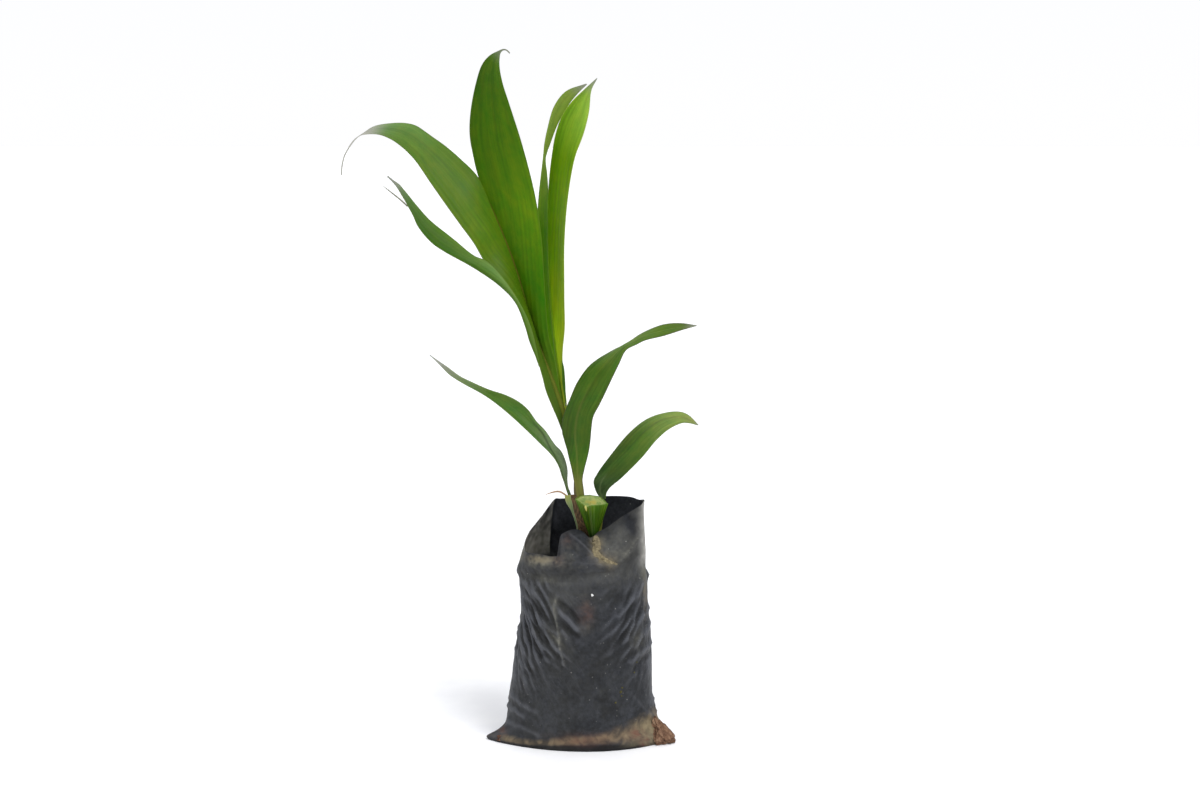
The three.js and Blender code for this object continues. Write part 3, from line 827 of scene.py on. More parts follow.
# Its middle stops are raised above its own green, painted light where the blade lies in shade
YOUNG_LEFT = Lamina(
    "young_leaf_left_lamina", roughness=0.5, specular=0.02, margin="6c8a1c",
    rib_side=((0.0, "5f860a"), (0.3, "4c7e02"), (0.55, "457802"), (0.75, "6f9122"), (1.0, "647830")),
    margin_side=((0.0, "5a820a"), (0.3, "558602"), (0.55, "4f8203"), (0.75, "8faa42"), (1.0, "6d8038")))
MID_RIGHT = Lamina(
    "mid_right_lamina", roughness=0.42, specular=0.08, streak=0.26, mottle=0.02, rib="616c2c",
    margin="4c4636",
    rib_side=((0.0, "6a6c34"), (0.07, "66682e"), (0.1, "4a5c1e"), (0.15, "3a5a16"), (0.25, "385317"),
              (0.55, "3f5d16"), (0.72, "6c8044"), (0.85, "4f6a22"), (1.0, "4d5d29")),
    margin_side=((0.0, "70723a"), (0.07, "6c6f36"), (0.11, "526a22"), (0.16, "42661a"), (0.28, "3c5816"),
                 (0.55, "426019"), (0.72, "506e26"), (0.85, "4a681c"), (1.0, "4d5d29")))
LOW_RIGHT = Lamina(
    "low_right_lamina", roughness=0.45, specular=0.08, streak=0.28, mottle=0.022, rib="5f7046",
    rib_side=((0.0, "43583a"), (0.2, "364e20"), (0.5, "455f20"), (0.8, "6d803b"), (1.0, "7d864c")),
    margin_side=((0.0, "455a34"), (0.2, "3b5420"), (0.5, "4b6721"), (0.8, "72843f"), (1.0, "7d864c")))
# Its pale foot by the inner margin is partly its own grey-green and partly painted light against the shade
# on that side
LOW_LEFT = Lamina(
    "low_left_lamina", roughness=0.45, specular=0.08, streak=0.24, mottle=0.02, rib="1e2c12", dried="8f9186",
    rib_side=((0.0, "788560"), (0.12, "78886a"), (0.3, "647850"), (0.42, "4c6c2c"), (0.65, "476721"),
              (0.8, "6f7f56"), (0.9, "868a76"), (1.0, "8f9186")),
    margin_side=((0.0, "5e7246"), (0.12, "526a3e"), (0.3, "3c5a24"), (0.45, "3e6020"), (0.65, "41621a"),
                 (0.8, "607246"), (0.9, "7c8270"), (1.0, "8f9186")))
PALE_SHEATH = Lamina(
    "pale_sheath_lamina", roughness=0.45, specular=0.12, margin="a2ab80",
    rib_side=((0.0, "99984c"), (0.16, "86905a"), (0.5, "6c7c58"), (1.0, "5f6c48")),
    margin_side=((0.0, "7c8440"), (0.16, "60754a"), (0.5, "4e6640"), (1.0, "5a5c38")))
# The funnel darkens towards its foot as painted shade deep inside it
CUT_GREEN = Lamina(
    "cut_leaf_lamina", roughness=0.5, specular=0.06, margin="5d7636", rib="56643c", streak=0.5, mottle=0.03,
    rib_side=((0.0, "1f2b11"), (0.4, "253f06"), (0.8, "314c03"), (1.0, "466410")),
    margin_side=((0.0, "1f2b11"), (0.4, "304d05"), (0.8, "426204"), (1.0, "587818")))


class Dirt(Enum):
    """What soils the film. The value names the attribute that its finish reads."""

    DUST = "dust"
    SAND = "sand"
    MUD = "mud"
    CLAY = "clay"


@dataclass(frozen=True)
class Smudge:
    """A smear of dirt on the film's front.

    It lies round x and z, reaches as far as its length along its turn in degrees, and as its width
    square to it. A negative amount keeps that much of its kind away.
    """

    kind: Dirt
    x: float
    z: float
    length: float
    width: float
    turn: float
    amount: float

    def at(self, x: float, z: float) -> float:
        """How much of it lies at a place.

        Args:
            x: Its place across.
            z: Its height.

        Returns:
            The amount.
        """
        turn = math.radians(self.turn)
        on = (x - self.x) * math.cos(turn) + (z - self.z) * math.sin(turn)
        over = (z - self.z) * math.cos(turn) - (x - self.x) * math.sin(turn)
        return self.amount * bell(on, 0, self.length) * bell(over, 0, self.width)


@dataclass(frozen=True)
class Crease:
    """A fold of the film, drawn on the bag as it is seen from the front.

    Its path runs through places given as x and z, its height is negative for a valley, its width is the
    distance at which it has nearly gone, and dust is how much of it lies along the fold.
    """

    path: tuple[tuple[float, float], ...]
    height: float
    width: float
    dust: float = 0.0

    def near(self, x: float, z: float) -> float:
        """How close a place is to the fold, from 0 far off to 1 on it.

        Args:
            x: Its place across.
            z: Its height.

        Returns:
            The share.
        """
        reach = self.width * 3.5
        if not (min(p[0] for p in self.path) - reach < x < max(p[0] for p in self.path) + reach):
            return 0.0
        nearest = 9.0
        for (ax, az), (bx, bz) in zip(self.path, self.path[1:]):
            dx, dz = bx - ax, bz - az
            t = min(1.0, max(0.0, ((x - ax) * dx + (z - az) * dz) / (dx * dx + dz * dz)))
            nearest = min(nearest, math.hypot(x - ax - t * dx, z - az - t * dz) / self.width)
        return math.exp(-(nearest ** 1.25)) if nearest < 5 else 0.0


@dataclass(frozen=True)
class Crumple:
    """A field of slanting wrinkles round one place on the bag.

    Bearing and height give its middle and spreads its size, slant is the wrinkles' rise in degrees,
    spacing is the distance between them and lift their height.
    """

    bearing: float
    bearing_spread: float
    height: float
    height_spread: float
    slant: float
    spacing: float
    lift: float

    GIRTH_RADIUS = 50.0

    def at(self, bearing: float, z: float) -> float:
        """The wrinkles' height at a bearing in degrees and a height.

        Args:
            bearing: Degrees round the bag.
            z: The height.

        Returns:
            Their height.
        """
        off = turned_from(bearing, self.bearing)
        weight = bell(off, 0, self.bearing_spread) * bell(z, self.height, self.height_spread)
        if weight < 0.02:
            return 0.0
        round_way, rise = math.radians(off) * self.GIRTH_RADIUS, z - self.height
        slant = math.radians(self.slant)
        on = round_way * math.cos(slant) + rise * math.sin(slant)
        over = rise * math.cos(slant) - round_way * math.sin(slant)
        wave = noise.noise(Vector((on / (4.5 * self.spacing), over / self.spacing, self.bearing)))
        finer = noise.noise(Vector((on / (2.4 * self.spacing), 2.3 * over / self.spacing, self.height)))
        return self.lift * weight * (0.6 - 2.2 * abs(wave) + 0.35 * finer)


@dataclass(frozen=True)
class NurseryBag:
    """The lay-flat film bag, welded along its bottom, with its soil and the earth that clings to it.

    Sand has run down the groove in front of the stem, where the spill is the line that it lies along. Grains
    of lime and ochre are given by their x, z and size, and clods by name, middle, half size, seed and taper.
    """

    sides: int = 264
    body_rings: int = 92
    neck_rings: int = 44
    film: float = 0.45
    rows: tuple[tuple[float, ...], ...] = (
        # Height, reach to the left and right, half depth, and how pointed the ends are
        (0, 79, 76, 37.5, 0.7), (3, 80, 77, 38, 0.7), (8, 70, 73, 38.5, 0.55), (15, 63, 64, 38.5, 0.35),
        (33, 61.5, 59.8, 39.5, 0.1), (67, 57, 58, 41, 0), (102, 51.5, 56, 42, 0), (133, 51, 53.2, 43, 0),
        (149, 52, 51, 43, 0))
    mouth: tuple[tuple[float, Point], ...] = (
        # Bearing in degrees from the right, and where the film's edge stands
        (-12, (51.7, -3, 203)), (25, (47, 28, 198.3)), (40, (41, 38, 198.6)), (55, (30, 42, 198.8)),
        (72, (15, 43, 198.4)), (95, (-6, 41, 197.3)), (113, (-19, 39.5, 197)), (121, (-22.6, 38, 196.9)),
        (135, (-33.4, 25, 185.6)), (148, (-43.3, 13, 175.3)), (151.5, (-44.1, 12, 174.5)),
        (155, (-44.8, 11, 173.3)), (168, (-46.6, 7, 170.4)), (188, (-48.2, -8, 164.4)),
        (207, (-44.5, -22, 163)), (225, (-34, -31, 163.6)), (238, (-24, -34.5, 162.4)),
        (243, (-18.8, -34, 163.3)), (247, (-18.1, -28, 172.3)), (250, (-17.4, -24, 177.3)),
        (254, (-15.4, -22, 179)), (261, (-10.5, -21, 181.2)), (268, (-5.3, -20, 182.1)),
        (275, (0.1, -21, 180.8)), (283, (6.6, -23, 176.2)), (291, (13.9, -19, 180)), (298, (20, -18, 182.9)),
        (313, (31.7, -16, 191.2)), (335, (47.9, -13, 200.6)))
    shoulder: float = 149
    roll: float = 0.42
    corner: float = 118
    soil_gap: float = 3.6
    soil_top: float = 147
    soil_crown: float = 3
    soil_bank: float = 6
    creases: tuple[Crease, ...] = (
        Crease(((8, 174), (12, 167), (16, 161), (31, 156)), -2.4, 3.4),
        Crease(((31, 158), (38, 166), (46, 175)), 2.2, 2.2, 0.25),
        Crease(((-18, 162), (-17, 170), (-15, 178)), 1.2, 2.4),
        Crease(((-10, 179), (-4, 175), (2, 171), (13, 160)), 1.3, 2.0),
        Crease(((-13, 177), (-8, 170), (0, 163)), -1.4, 2.6),
        Crease(((48, 200), (49, 181), (50, 157), (50, 140)), 1.6, 2.2),
        Crease(((-50, 148), (-30, 155), (-5, 158), (15, 156)), 2.0, 4.0),
        Crease(((15, 156), (33, 155), (47, 162)), 1.4, 3.6),
        Crease(((-40, 145), (-18, 147), (7, 149), (23, 150)), -2.6, 3.6),
        Crease(((-52, 145), (-44, 136), (-37, 129)), 2.4, 3.0),
        Crease(((-48, 135), (-46, 119), (-41, 107), (-37, 96), (-32, 85)), 2.4, 3.0),
        Crease(((-48, 109), (-44, 99), (-39, 86), (-34, 80)), -2.0, 2.6),
        Crease(((-51, 97), (-48, 86), (-44, 76), (-40, 70)), 2.2, 2.8),
        Crease(((-53, 79), (-51, 72), (-46, 67)), 1.8, 2.4),
        Crease(((-38, 112), (-32, 104), (-29, 98), (-24, 92)), 2.0, 2.6),
        Crease(((-36, 108), (-31, 99), (-27, 93)), -1.8, 2.2),
        Crease(((-33, 97), (-27, 90), (-21, 85)), 1.8, 2.4),
        Crease(((-61, 30), (-54, 29), (-48, 26)), 1.8, 2.4),
        Crease(((-58, 41), (-50, 36), (-38, 32)), 1.8, 2.6),
        Crease(((-21, 129), (-23, 120), (-21.4, 112), (-20.4, 106), (-18.9, 98), (-18.9, 92), (-17, 84),
                (-15, 74)), 1.5, 0.9, 0.85),
        Crease(((-27, 101), (-22, 97), (-18, 91)), 0.8, 1.3, 0.4),
        Crease(((-16, 106), (-10, 101.5), (-4, 98)), -2.6, 3.0),
        Crease(((-17.5, 125), (-10, 120), (-3, 111)), -2.2, 2.6),
        Crease(((-18, 117), (-11, 111), (-5, 103)), 1.6, 2.2),
        Crease(((55, 114), (49, 109), (39, 102)), 2.0, 2.6),
        Crease(((56, 101), (51, 95), (42, 86)), 2.0, 2.6),
        Crease(((56, 84), (49, 80), (39, 74)), 1.8, 2.4),
        Crease(((57, 76), (51, 74), (45, 67)), -1.6, 2.2),
        Crease(((48, 138), (44, 128), (36, 120), (29, 113)), 2.2, 3.0),
        Crease(((-6, 64), (-2, 53), (1, 41)), 0.4, 3.4),
        Crease(((-10, 57), (-9, 40), (-9, 28)), 0.35, 3.2),
        Crease(((22, 60), (26, 44), (34, 30)), 0.4, 3.8),
        Crease(((60, 22), (52, 30), (42, 44)), 0.8, 3.2),
        Crease(((-62, 16), (-50, 16), (-36, 12)), 1.6, 2.6))
    crumples: tuple[Crumple, ...] = (
        Crumple(221, 21, 100, 40, -58, 6.4, 3.2), Crumple(208, 16, 96, 42, -66, 6.6, 1.8),
        Crumple(314, 19, 100, 38, 54, 6.6, 2.4), Crumple(334, 12, 96, 42, 68, 7.0, 0.6),
        Crumple(246, 22, 100, 34, -44, 8.0, 1.7), Crumple(300, 17, 104, 30, 46, 7.6, 1.2),
        Crumple(270, 48, 138, 10, 4, 9.0, 1.2),
        Crumple(270, 60, 40, 28, 70, 14.0, 0.6), Crumple(128, 38, 95, 40, 50, 9.5, 2.0),
        Crumple(52, 38, 88, 40, -50, 9.5, 2.0), Crumple(90, 50, 160, 24, 75, 9.0, 1.0),
        Crumple(182, 24, 22, 16, 24, 7.0, 1.5), Crumple(358, 24, 22, 16, -24, 7.0, 1.5),
        Crumple(20, 26, 165, 24, 80, 8.0, 0.35))
    smudges: tuple[Smudge, ...] = tuple(Smudge(kind, *row) for kind, rows in (
        (Dirt.DUST, ((-34, 157.5, 15, 4.5, 3, 0.75), (34, 166, 12, 7, 40, 0.16), (40, 186, 9, 5, -50, -0.3),
                     (4.2, 106, 6, 6, 0, 0.16), (-9, 168, 9, 8, 40, 0.2), (-4, 155, 14, 4, 0, 0.18),
                     (22, 168, 8, 12, 30, 0.2), (30, 176, 10, 6, 50, 0.12), (12, 60, 30, 40, 0, 0.05),
                     (-2, 128, 20, 8, -8, 0.14), (-22.5, 121.5, 3, 8, 0, 0.4), (-19, 96, 11, 6, -60, 0.22),
                     (46, 90, 6, 12, 20, 0.2), (20, 146, 26, 5, 0, 0.16), (-30, 143, 16, 3, -6, 0.25))),
        (Dirt.SAND, ((-35, 159, 11, 3, 4, 0.45), (45, 12, 7, 5, 8, -0.7), (53, 4, 6.5, 6, 0, -0.7))),
        (Dirt.CLAY, ((3.4, 117, 5.5, 9, 0, 0.26), (-66.5, 9, 3.5, 3, 0, 0.35), (0, 10, 22, 5, 0, 0.22),
                     (-20, 160, 5, 4, 20, 0.18), (-12, 174, 4, 4, 0, 0.16), (45, 12, 6.5, 3.8, 8, 0.62),
                     (52, 5, 5, 4.5, 0, 0.55))),
        (Dirt.MUD, ((52, 128, 3, 22, 0, 0.3),))) for row in rows)
    groove: tuple[tuple[float, float], ...] = ((12, 172), (12, 166), (17, 161), (23, 158))
    spill: tuple[Point, ...] = ((10, 0, 176), (12.3, 0, 173.3), (11.7, 0, 166), (16.4, 0, 161.7),
                                (22.1, 0, 158.5), (29, 0, 155.8))
    lime: tuple[Point, ...] = ((8.6, 131.9, 0.95), (8.1, 132.8, 0.6))
    ochre: tuple[Point, ...] = ((31.8, 49.5, 1.3), (27.6, 40.9, 1.0), (45, 72, 0.8), (43, 64, 0.8),
                                (33, 53, 0.9), (32.5, 46, 0.8))
    clods: tuple[tuple[str, Point, Point, float, float], ...] = (
        ("laterite_clod_right", (66, -8.5, 8.2), (12, 12, 12), 1.0, 0.6),
        ("laterite_clod_left", (-66.5, -7, 2.9), (5.5, 5, 2.9), 7.0, 0.3))

    def body_point(self, turn: float, z: float, inwards: float = 0.0) -> Vector:
        """A point of the filled bag at a height, moved in by a distance.

        Args:
            turn: In radians.
            z: The height.
            inwards: The distance.

        Returns:
            The point.
        """
        left, right, depth, point = through(self.rows, z)
        reach = left if math.cos(turn) < 0 else right
        sine = math.sin(turn)
        depth *= 1 + 0.12 * max(0.0, point) * math.cos(turn)
        ear = inwards * (1 + 5 * max(0.0, point))
        sine *= abs(sine) ** max(0.0, point)
        return Vector((math.cos(turn) * (reach - ear), sine * (depth - inwards), z))

    def mouth_point(self, turn: float) -> Vector:
        """The mouth's edge at a turn in radians round the bag.

        Args:
            turn: In radians.

        Returns:
            The point.
        """
        bearings = [bearing for bearing, _ in self.mouth]
        bearings.append(bearings[0] + 360)
        bearing = (math.degrees(turn) - bearings[0]) % 360 + bearings[0]
        i = min(bisect_right(bearings, bearing) - 1, len(self.mouth) - 1)
        return self.mouth_curve.at_knot(i + (bearing - bearings[i]) / (bearings[i + 1] - bearings[i]))

    @cached_property
    def mouth_curve(self) -> Curve:
        """The closed line of the mouth, made once."""
        return Curve([at for _, at in self.mouth], closed=True)

    def film_point(self, turn: float, rise: float) -> Vector:
        """A point of the film before its wrinkles, from the weld at rise 0 to the mouth at 1.

        Args:
            turn: In radians.
            rise: Share of the way up.

        Returns:
            The point.
        """
        share = self.body_rings / (self.body_rings + self.neck_rings)
        if rise <= share:
            return self.body_point(turn, self.shoulder * (rise / share) ** 1.12)
        t = (rise - share) / (1 - share)
        start, end = self.body_point(turn, self.shoulder), self.mouth_point(turn)
        over = start + Vector((0, 0, self.roll * (end - start).length))
        return start * (1 - t) ** 2 + over * 2 * t * (1 - t) + end * t * t

    def drawn_at(self, at: Vector) -> tuple[float, float]:
        """The place on the drawing of the folds that a point takes: the back has them mirrored and lower."""
        return (at.x, at.z) if at.y < 0 else (-at.x, at.z + 7)

    def wrinkle(self, turn: float, rise: float, at: Vector) -> float:
        """The height of all folds and wrinkles at a point of the film.

        Args:
            turn: In radians.
            rise: Share of the way up.
            at: The point.

        Returns:
            Their height.
        """
        bearing = math.degrees(turn)
        x, z = self.drawn_at(at)
        firm = smooth(1, 9, at.z)
        lift = 1.1 * noise.noise(at / 34) + 0.3 * noise.noise(at / 11)
        if at.y < 0 or at.z < self.shoulder:
            lift += sum(fold.height * fold.near(x, z) for fold in self.creases) * smooth(0, 6, abs(at.y))
        lift += sum(crumple.at(bearing, at.z) for crumple in self.crumples)
        if at.z > self.shoulder:
            lift += 3.0 * math.exp(-abs(turned_from(bearing, self.corner)) / 3.5) * smooth(149, 165, at.z)
        return lift * firm * (1 - 0.5 * smooth(0.96, 1, rise))

    def above_weld(self, at: Vector) -> float:
        """How far a place is above the strip that bulges over the weld, which is painted dark as shade, from
        0 to 1.
        """
        top = 1.2 + 4.2 * bell(at.x, 6, 40)
        return smooth(top - 1, top + 1.4, at.z)

    def soiling(self, turn: float, at: Vector) -> dict[str, float]:
        """How soiled and scuffed the film is at a point, and where sheen and light are painted on it.

        Args:
            turn: Its turn round the bag in radians.
            at: Its place.

        Returns:
            Shares of dust, sand, mud, clay and scuffs, of pale dust with painted sheen and light, and which
            way the creases lean.
        """
        bearing = math.degrees(turn)
        front = at.y < 0
        inner_left = smooth(121.4, 122.4, bearing) * (1 - smooth(186, 202, bearing))
        neck = smooth(self.shoulder - 2, self.shoulder + 8, at.z)
        rough = max(0.0, 1 + 0.7 * noise.noise(at / 5) + 0.9 * noise.noise(at / 2.4))
        dirt = {Dirt.DUST: 0.03 + 0.08 * bell(at.z, self.shoulder - 5, 13), Dirt.SAND: 0.0, Dirt.MUD: 0.0,
                Dirt.CLAY: 0.0}
        dirt[Dirt.DUST] += 0.07 * (1 - smooth(-24, 8, at.x)) * front
        dirt[Dirt.DUST] *= 1 - neck
        dirt[Dirt.DUST] += 0.16 * neck * bell(turned_from(bearing, 316), 0, 24)
        # Pale dust on the inner left wall, laid thick enough to paint the light that falls there
        dirt[Dirt.DUST] += 0.8 * neck * inner_left * (0.3 + bell(at.z, 160, 13))
        # A pale strip along the right fold is painted sheen, laid in as dust and as the pale share
        strip = bell(turned_from(bearing, 348), 0, 11) * smooth(100, 160, at.z)
        dirt[Dirt.DUST] += 0.7 * strip
        patches = max(0.0, 0.45 + 0.6 * noise.noise(at / 9) + 0.5 * noise.noise(at / 4))
        haze = neck * (strip - patches * inner_left)
        x, z = self.drawn_at(at)
        for fold in self.creases:
            if fold.dust:
                near = fold.near(x, z)
                dirt[Dirt.DUST] += fold.dust * rough * (near ** 3 + 0.2 * near) * (1 if front else 0.4)
        if front:
            for smudge in self.smudges:
                dirt[smudge.kind] += smudge.at(at.x, at.z) * rough
        groove = max(bell(math.hypot(at.x - x, at.z - z), 0, 4.6) for x, z in self.groove)
        dirt[Dirt.SAND] += 0.6 * groove * (1 - smooth(-8, 4, at.y))
        # Mud dried in a line just above the weld, and higher up the right corner
        right = smooth(-6, 62, at.x)
        line = 4.2 + 5.2 * smooth(-50, 5, at.x) + 2.5 * smooth(5, 30, at.x) + 5 * smooth(28, 60, at.x)
        spread = 2.8 + 1.2 * smooth(-40, 0, at.x) + 5 * smooth(12, 55, at.x)
        band = bell(at.z, line + 0.8 * noise.noise(at / 18), spread) * mix(0.93, 1, right)
        band *= (1 if front else 0.7) * smooth(-74, -62, at.x)
        bank = 4 + 3 * noise.noise(at / 14) + 17 * bell(at.x, 53, 14) * (1 if front else 0.5)
        base = smooth(0.3, 3.5, at.z + 3 * smooth(44, 60, abs(at.x)))
        corner = 0.8 * bell(at.x, 54, 14) * (1 - smooth(bank * 0.7, bank + 5, at.z)) * base
        dirt[Dirt.SAND] += corner * (1 if front else 0.4)
        dirt[Dirt.CLAY] += 0.3 * band * bell(at.x, 4, 24)
        dirt[Dirt.MUD] += max(band, 0.3 * (1 - smooth(bank - 4, bank + 8, at.z))) * self.above_weld(at)
        flank = max(bell(turned_from(bearing, 210), 0, 42), bell(turned_from(bearing, 343), 0, 24),
                    0.5 * (not front))
        scuffed = 0.06 + 0.65 * flank * smooth(10, 70, at.z) * (1 - 0.9 * neck)
        marks = {kind.value: max(0.0, min(0.97, share)) for kind, share in dirt.items()}
        return {**marks, "haze": haze, "scuffed": min(1.0, scuffed), "lean": smooth(-8, 30, at.x)}

    def build_film(self) -> bpy.types.Object:
        """The film, with its folds.

        Returns:
            The film.
        """
        rings = self.body_rings + self.neck_rings
        film = Mesher.tube("nursery_bag_film", self.sides, rings, self.film_point, open_top=True)
        turns, rises = Mesher.read(film, "turn"), Mesher.read(film, "rise")
        lifts: dict[tuple[int, int], float] = {}

        def lift(i: int, at: Vector) -> float:
            """The folds' height at a corner, kept for the painted light and shade of the folds.

            Args:
                i: The corner's index.
                at: Its place.

            Returns:
                The height.
            """
            height = self.wrinkle(turns[i] * math.tau, rises[i], at)
            lifts[round(turns[i] * self.sides) % self.sides, round(rises[i] * rings)] = height
            return height

        Mesher.raise_by(film, lift)
        # Painted light and shade of the folds: paler on their crests as painted highlight, darker in their
        # valleys as painted shade, with painted sheen on both flanks, painted shade along the weld and on
        # the neck's right panel
        ridges = []
        for corner, turn, rise in zip(film.data.vertices, turns, rises):
            a, b = round(turn * self.sides), round(rise * rings)
            near = ((a + 3, b), (a - 3, b), (a, min(b + 3, rings)), (a, max(b - 3, 0)))
            level = sum(lifts.get((side % self.sides, ring), 0.0) for side, ring in near) / 4
            swell = lifts.get((a % self.sides, b), 0.0) - level
            # Painted sheen on the right fold and on the left flank
            wear_and_painted_sheen = 0.22 * max(bell(turned_from(turn * 360, 348), 0, 9),
                              bell(turned_from(turn * 360, 200), 0, 18))
            outside = max(1 - smooth(0.62, 0.7, rise), 0.75 * bell(turned_from(turn * 360, 284), 0, 34))
            shade = 0.5 + (0.36 * swell + wear_and_painted_sheen) * outside - 0.5 * (1 - self.above_weld(corner.co / METRE))
            # The neck's right panel is painted darker, as painted shade
            shade -= 0.16 * bell(turned_from(turn * 360, 320), 0, 26) * (1 - outside)
            ridges.append(min(1.0, max(0.0, shade)))
        Mesher.mark(film, "ridge", ridges)
        soiling = [self.soiling(turn * math.tau, corner.co / METRE)
                   for turn, corner in zip(turns, film.data.vertices)]
        for name in soiling[0]:
            Mesher.mark(film, name, [share[name] for share in soiling])
        Mesher.finish(film, thickness=self.film, offset=-1, angle=80)
        FILM.dress(film)
        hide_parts("bag_film")
        return film

    def soil_point(self, turn: float, rise: float) -> Vector:
        """A point of the soil: up its side, then in over its crumbly top.

        Args:
            turn: In radians.
            rise: Share of the way.

        Returns:
            The point.
        """
        if rise < 0.3:
            return self.body_point(turn, mix(2.5, self.soil_top, rise / 0.3), self.soil_gap)
        way = (rise - 0.3) / 0.7
        edge = self.body_point(turn, self.soil_top, self.soil_gap)
        at = Vector((edge.x * (1 - way), edge.y * (1 - way),
                     self.soil_top + self.soil_crown * smooth(0, 0.7, way)))
        at.z += self.soil_bank * bell(at.x, -36, 20) * bell(at.y, -16, 24) * smooth(0, 0.05, way)
        crumbs = 1.1 * noise.noise(at / 9) + 0.8 * noise.noise(at / 3.2) + 0.35 * noise.noise(at / 1.4)
        return at + Vector((0, 0, crumbs * smooth(0, 0.06, way)))

    def build_soil(self) -> bpy.types.Object:
        """The soil in the bag.

        Returns:
            The soil.
        """
        soil = Mesher.tube("potting_soil", sides=150, rings=90, place=self.soil_point)
        Mesher.finish(soil, angle=70)
        LOAM.dress(soil)
        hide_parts("soil_fill")
        return soil

    def build_sand(self, film: bpy.types.Object) -> bpy.types.Object:
        """The sand that has run down the fold in front of the stem, lying on the film.

        Args:
            film: The film.

        Returns:
            The sand.
        """
        path = Curve(self.spill)

        def place(u: float, v: float) -> Vector:
            """A grain's place at a share of the spill's width and length.

            Args:
                u: Share of the width.
                v: Share of the length.

            Returns:
                The point.
            """
            middle, way = path.at(v), path.toward(v)
            half = mix(4.4, 1.7, smooth(0.15, 0.55, v))
            half *= math.sin(math.pi * min(1, max(0.02, v * 0.9 + 0.08))) ** 0.5
            ragged = noise.noise(Vector((v * 14, 3, round(u) * 5)))
            half *= 1 + 0.7 * ragged + 0.3 * noise.noise(Vector((v * 40, 3, u)))
            aside = (u * 2 - 1) * half
            x, z = middle.x + way.z * aside, middle.z - way.x * aside
            hit, spot, normal, _ = film.ray_cast(Vector((x, -120, z)) * METRE, Vector((0, 1, 0)))
            if not hit:
                spot, normal = Vector((x, -24, z)) * METRE, Vector((0, -0.7, 0.7))
            edge = 1 - abs(u * 2 - 1) ** 2.5
            depth = (1.7 * (1 - 0.5 * v) + 0.5 * noise.noise(spot / METRE / 2.2)) * edge
            return spot / METRE + normal * (depth - 0.25)

        sand = Mesher.sheet("spilt_sand", across=16, along=56, place=place)
        Mesher.finish(sand, thickness=0.4, offset=-1, levels=1, angle=70)
        SAND.dress(sand)
        return sand

    def build_clod(self, name: str, middle: Point, size: Point, seed: float,
                   taper: float) -> bpy.types.Object:
        """A clod of laterite that sticks to a bottom corner.

        Args:
            name: The piece's name.
            middle: Its middle.
            size: Half its size along each axis.
            seed: Which of the noise's lumps it takes.
            taper: How much of its width it has lost at the top.

        Returns:
            The clod.
        """
        bpy.ops.object.select_all(action="DESELECT")
        bpy.ops.mesh.primitive_ico_sphere_add(subdivisions=5, radius=1)
        clod = Mesher.fresh(name)
        for corner in clod.data.vertices:
            way = corner.co.copy()
            lump = 1 + 0.3 * noise.noise(way * 1.3 + Vector((seed, 0, 0))) + 0.22 * noise.noise(way * 3.1)
            lump += 0.12 * noise.noise(way * 7)
            narrow = 1 - taper * smooth(-0.6, 1, way.z)
            at = Vector(middle) + Vector((way.x * size[0] * narrow - (1 - narrow) * size[0] * 0.7,
                                          way.y * size[1] * narrow, way.z * size[2])) * lump
            at.z = max(at.z, 0.2)
            corner.co = at * METRE
        Mesher.finish(clod, angle=80)
        LATERITE.dress(clod)
        return clod

    def build_grit(self, film: bpy.types.Object, name: str, finish: Finish,
                   grains: Sequence[Point]) -> bpy.types.Object:
        """Grains that stick to the film's front, each given by its x, its z and its size.

        Args:
            film: The film.
            name: The piece's name.
            finish: What the grains are.
            grains: The grains.

        Returns:
            The grains as one piece.
        """
        bpy.ops.object.select_all(action="DESELECT")
        bpy.ops.mesh.primitive_ico_sphere_add(subdivisions=3, radius=1)
        grit = Mesher.fresh(name)
        bpy.ops.object.mode_set(mode="EDIT")
        for _ in grains[1:]:
            bpy.ops.mesh.primitive_ico_sphere_add(subdivisions=3, radius=1)
        bpy.ops.object.mode_set(mode="OBJECT")
        each = len(grit.data.vertices) // len(grains)
        for i, corner in enumerate(grit.data.vertices):
            x, z, size = grains[i // each]
            _, spot, normal, _ = film.ray_cast(Vector((x, -120, z)) * METRE, Vector((0, 1, 0)))
            lump = size * (1 + 0.3 * noise.noise(corner.co * 1.7 + Vector((x, z, 0))))
            corner.co = spot + (corner.co * lump - normal * 0.25 * size) * METRE
        Mesher.finish(grit, angle=80)
        finish.dress(grit)
        return grit

    def build(self) -> list[bpy.types.Object]:
        """Makes the bag's pieces.

        Returns:
            The pieces.
        """
        film = self.build_film()
        return [film, self.build_soil(), self.build_sand(film),
                self.build_grit(film, "lime_chip", CHALK, self.lime),
                self.build_grit(film, "ochre_grit", OCHRE, self.ochre),
                *(self.build_clod(*clod) for clod in self.clods)]


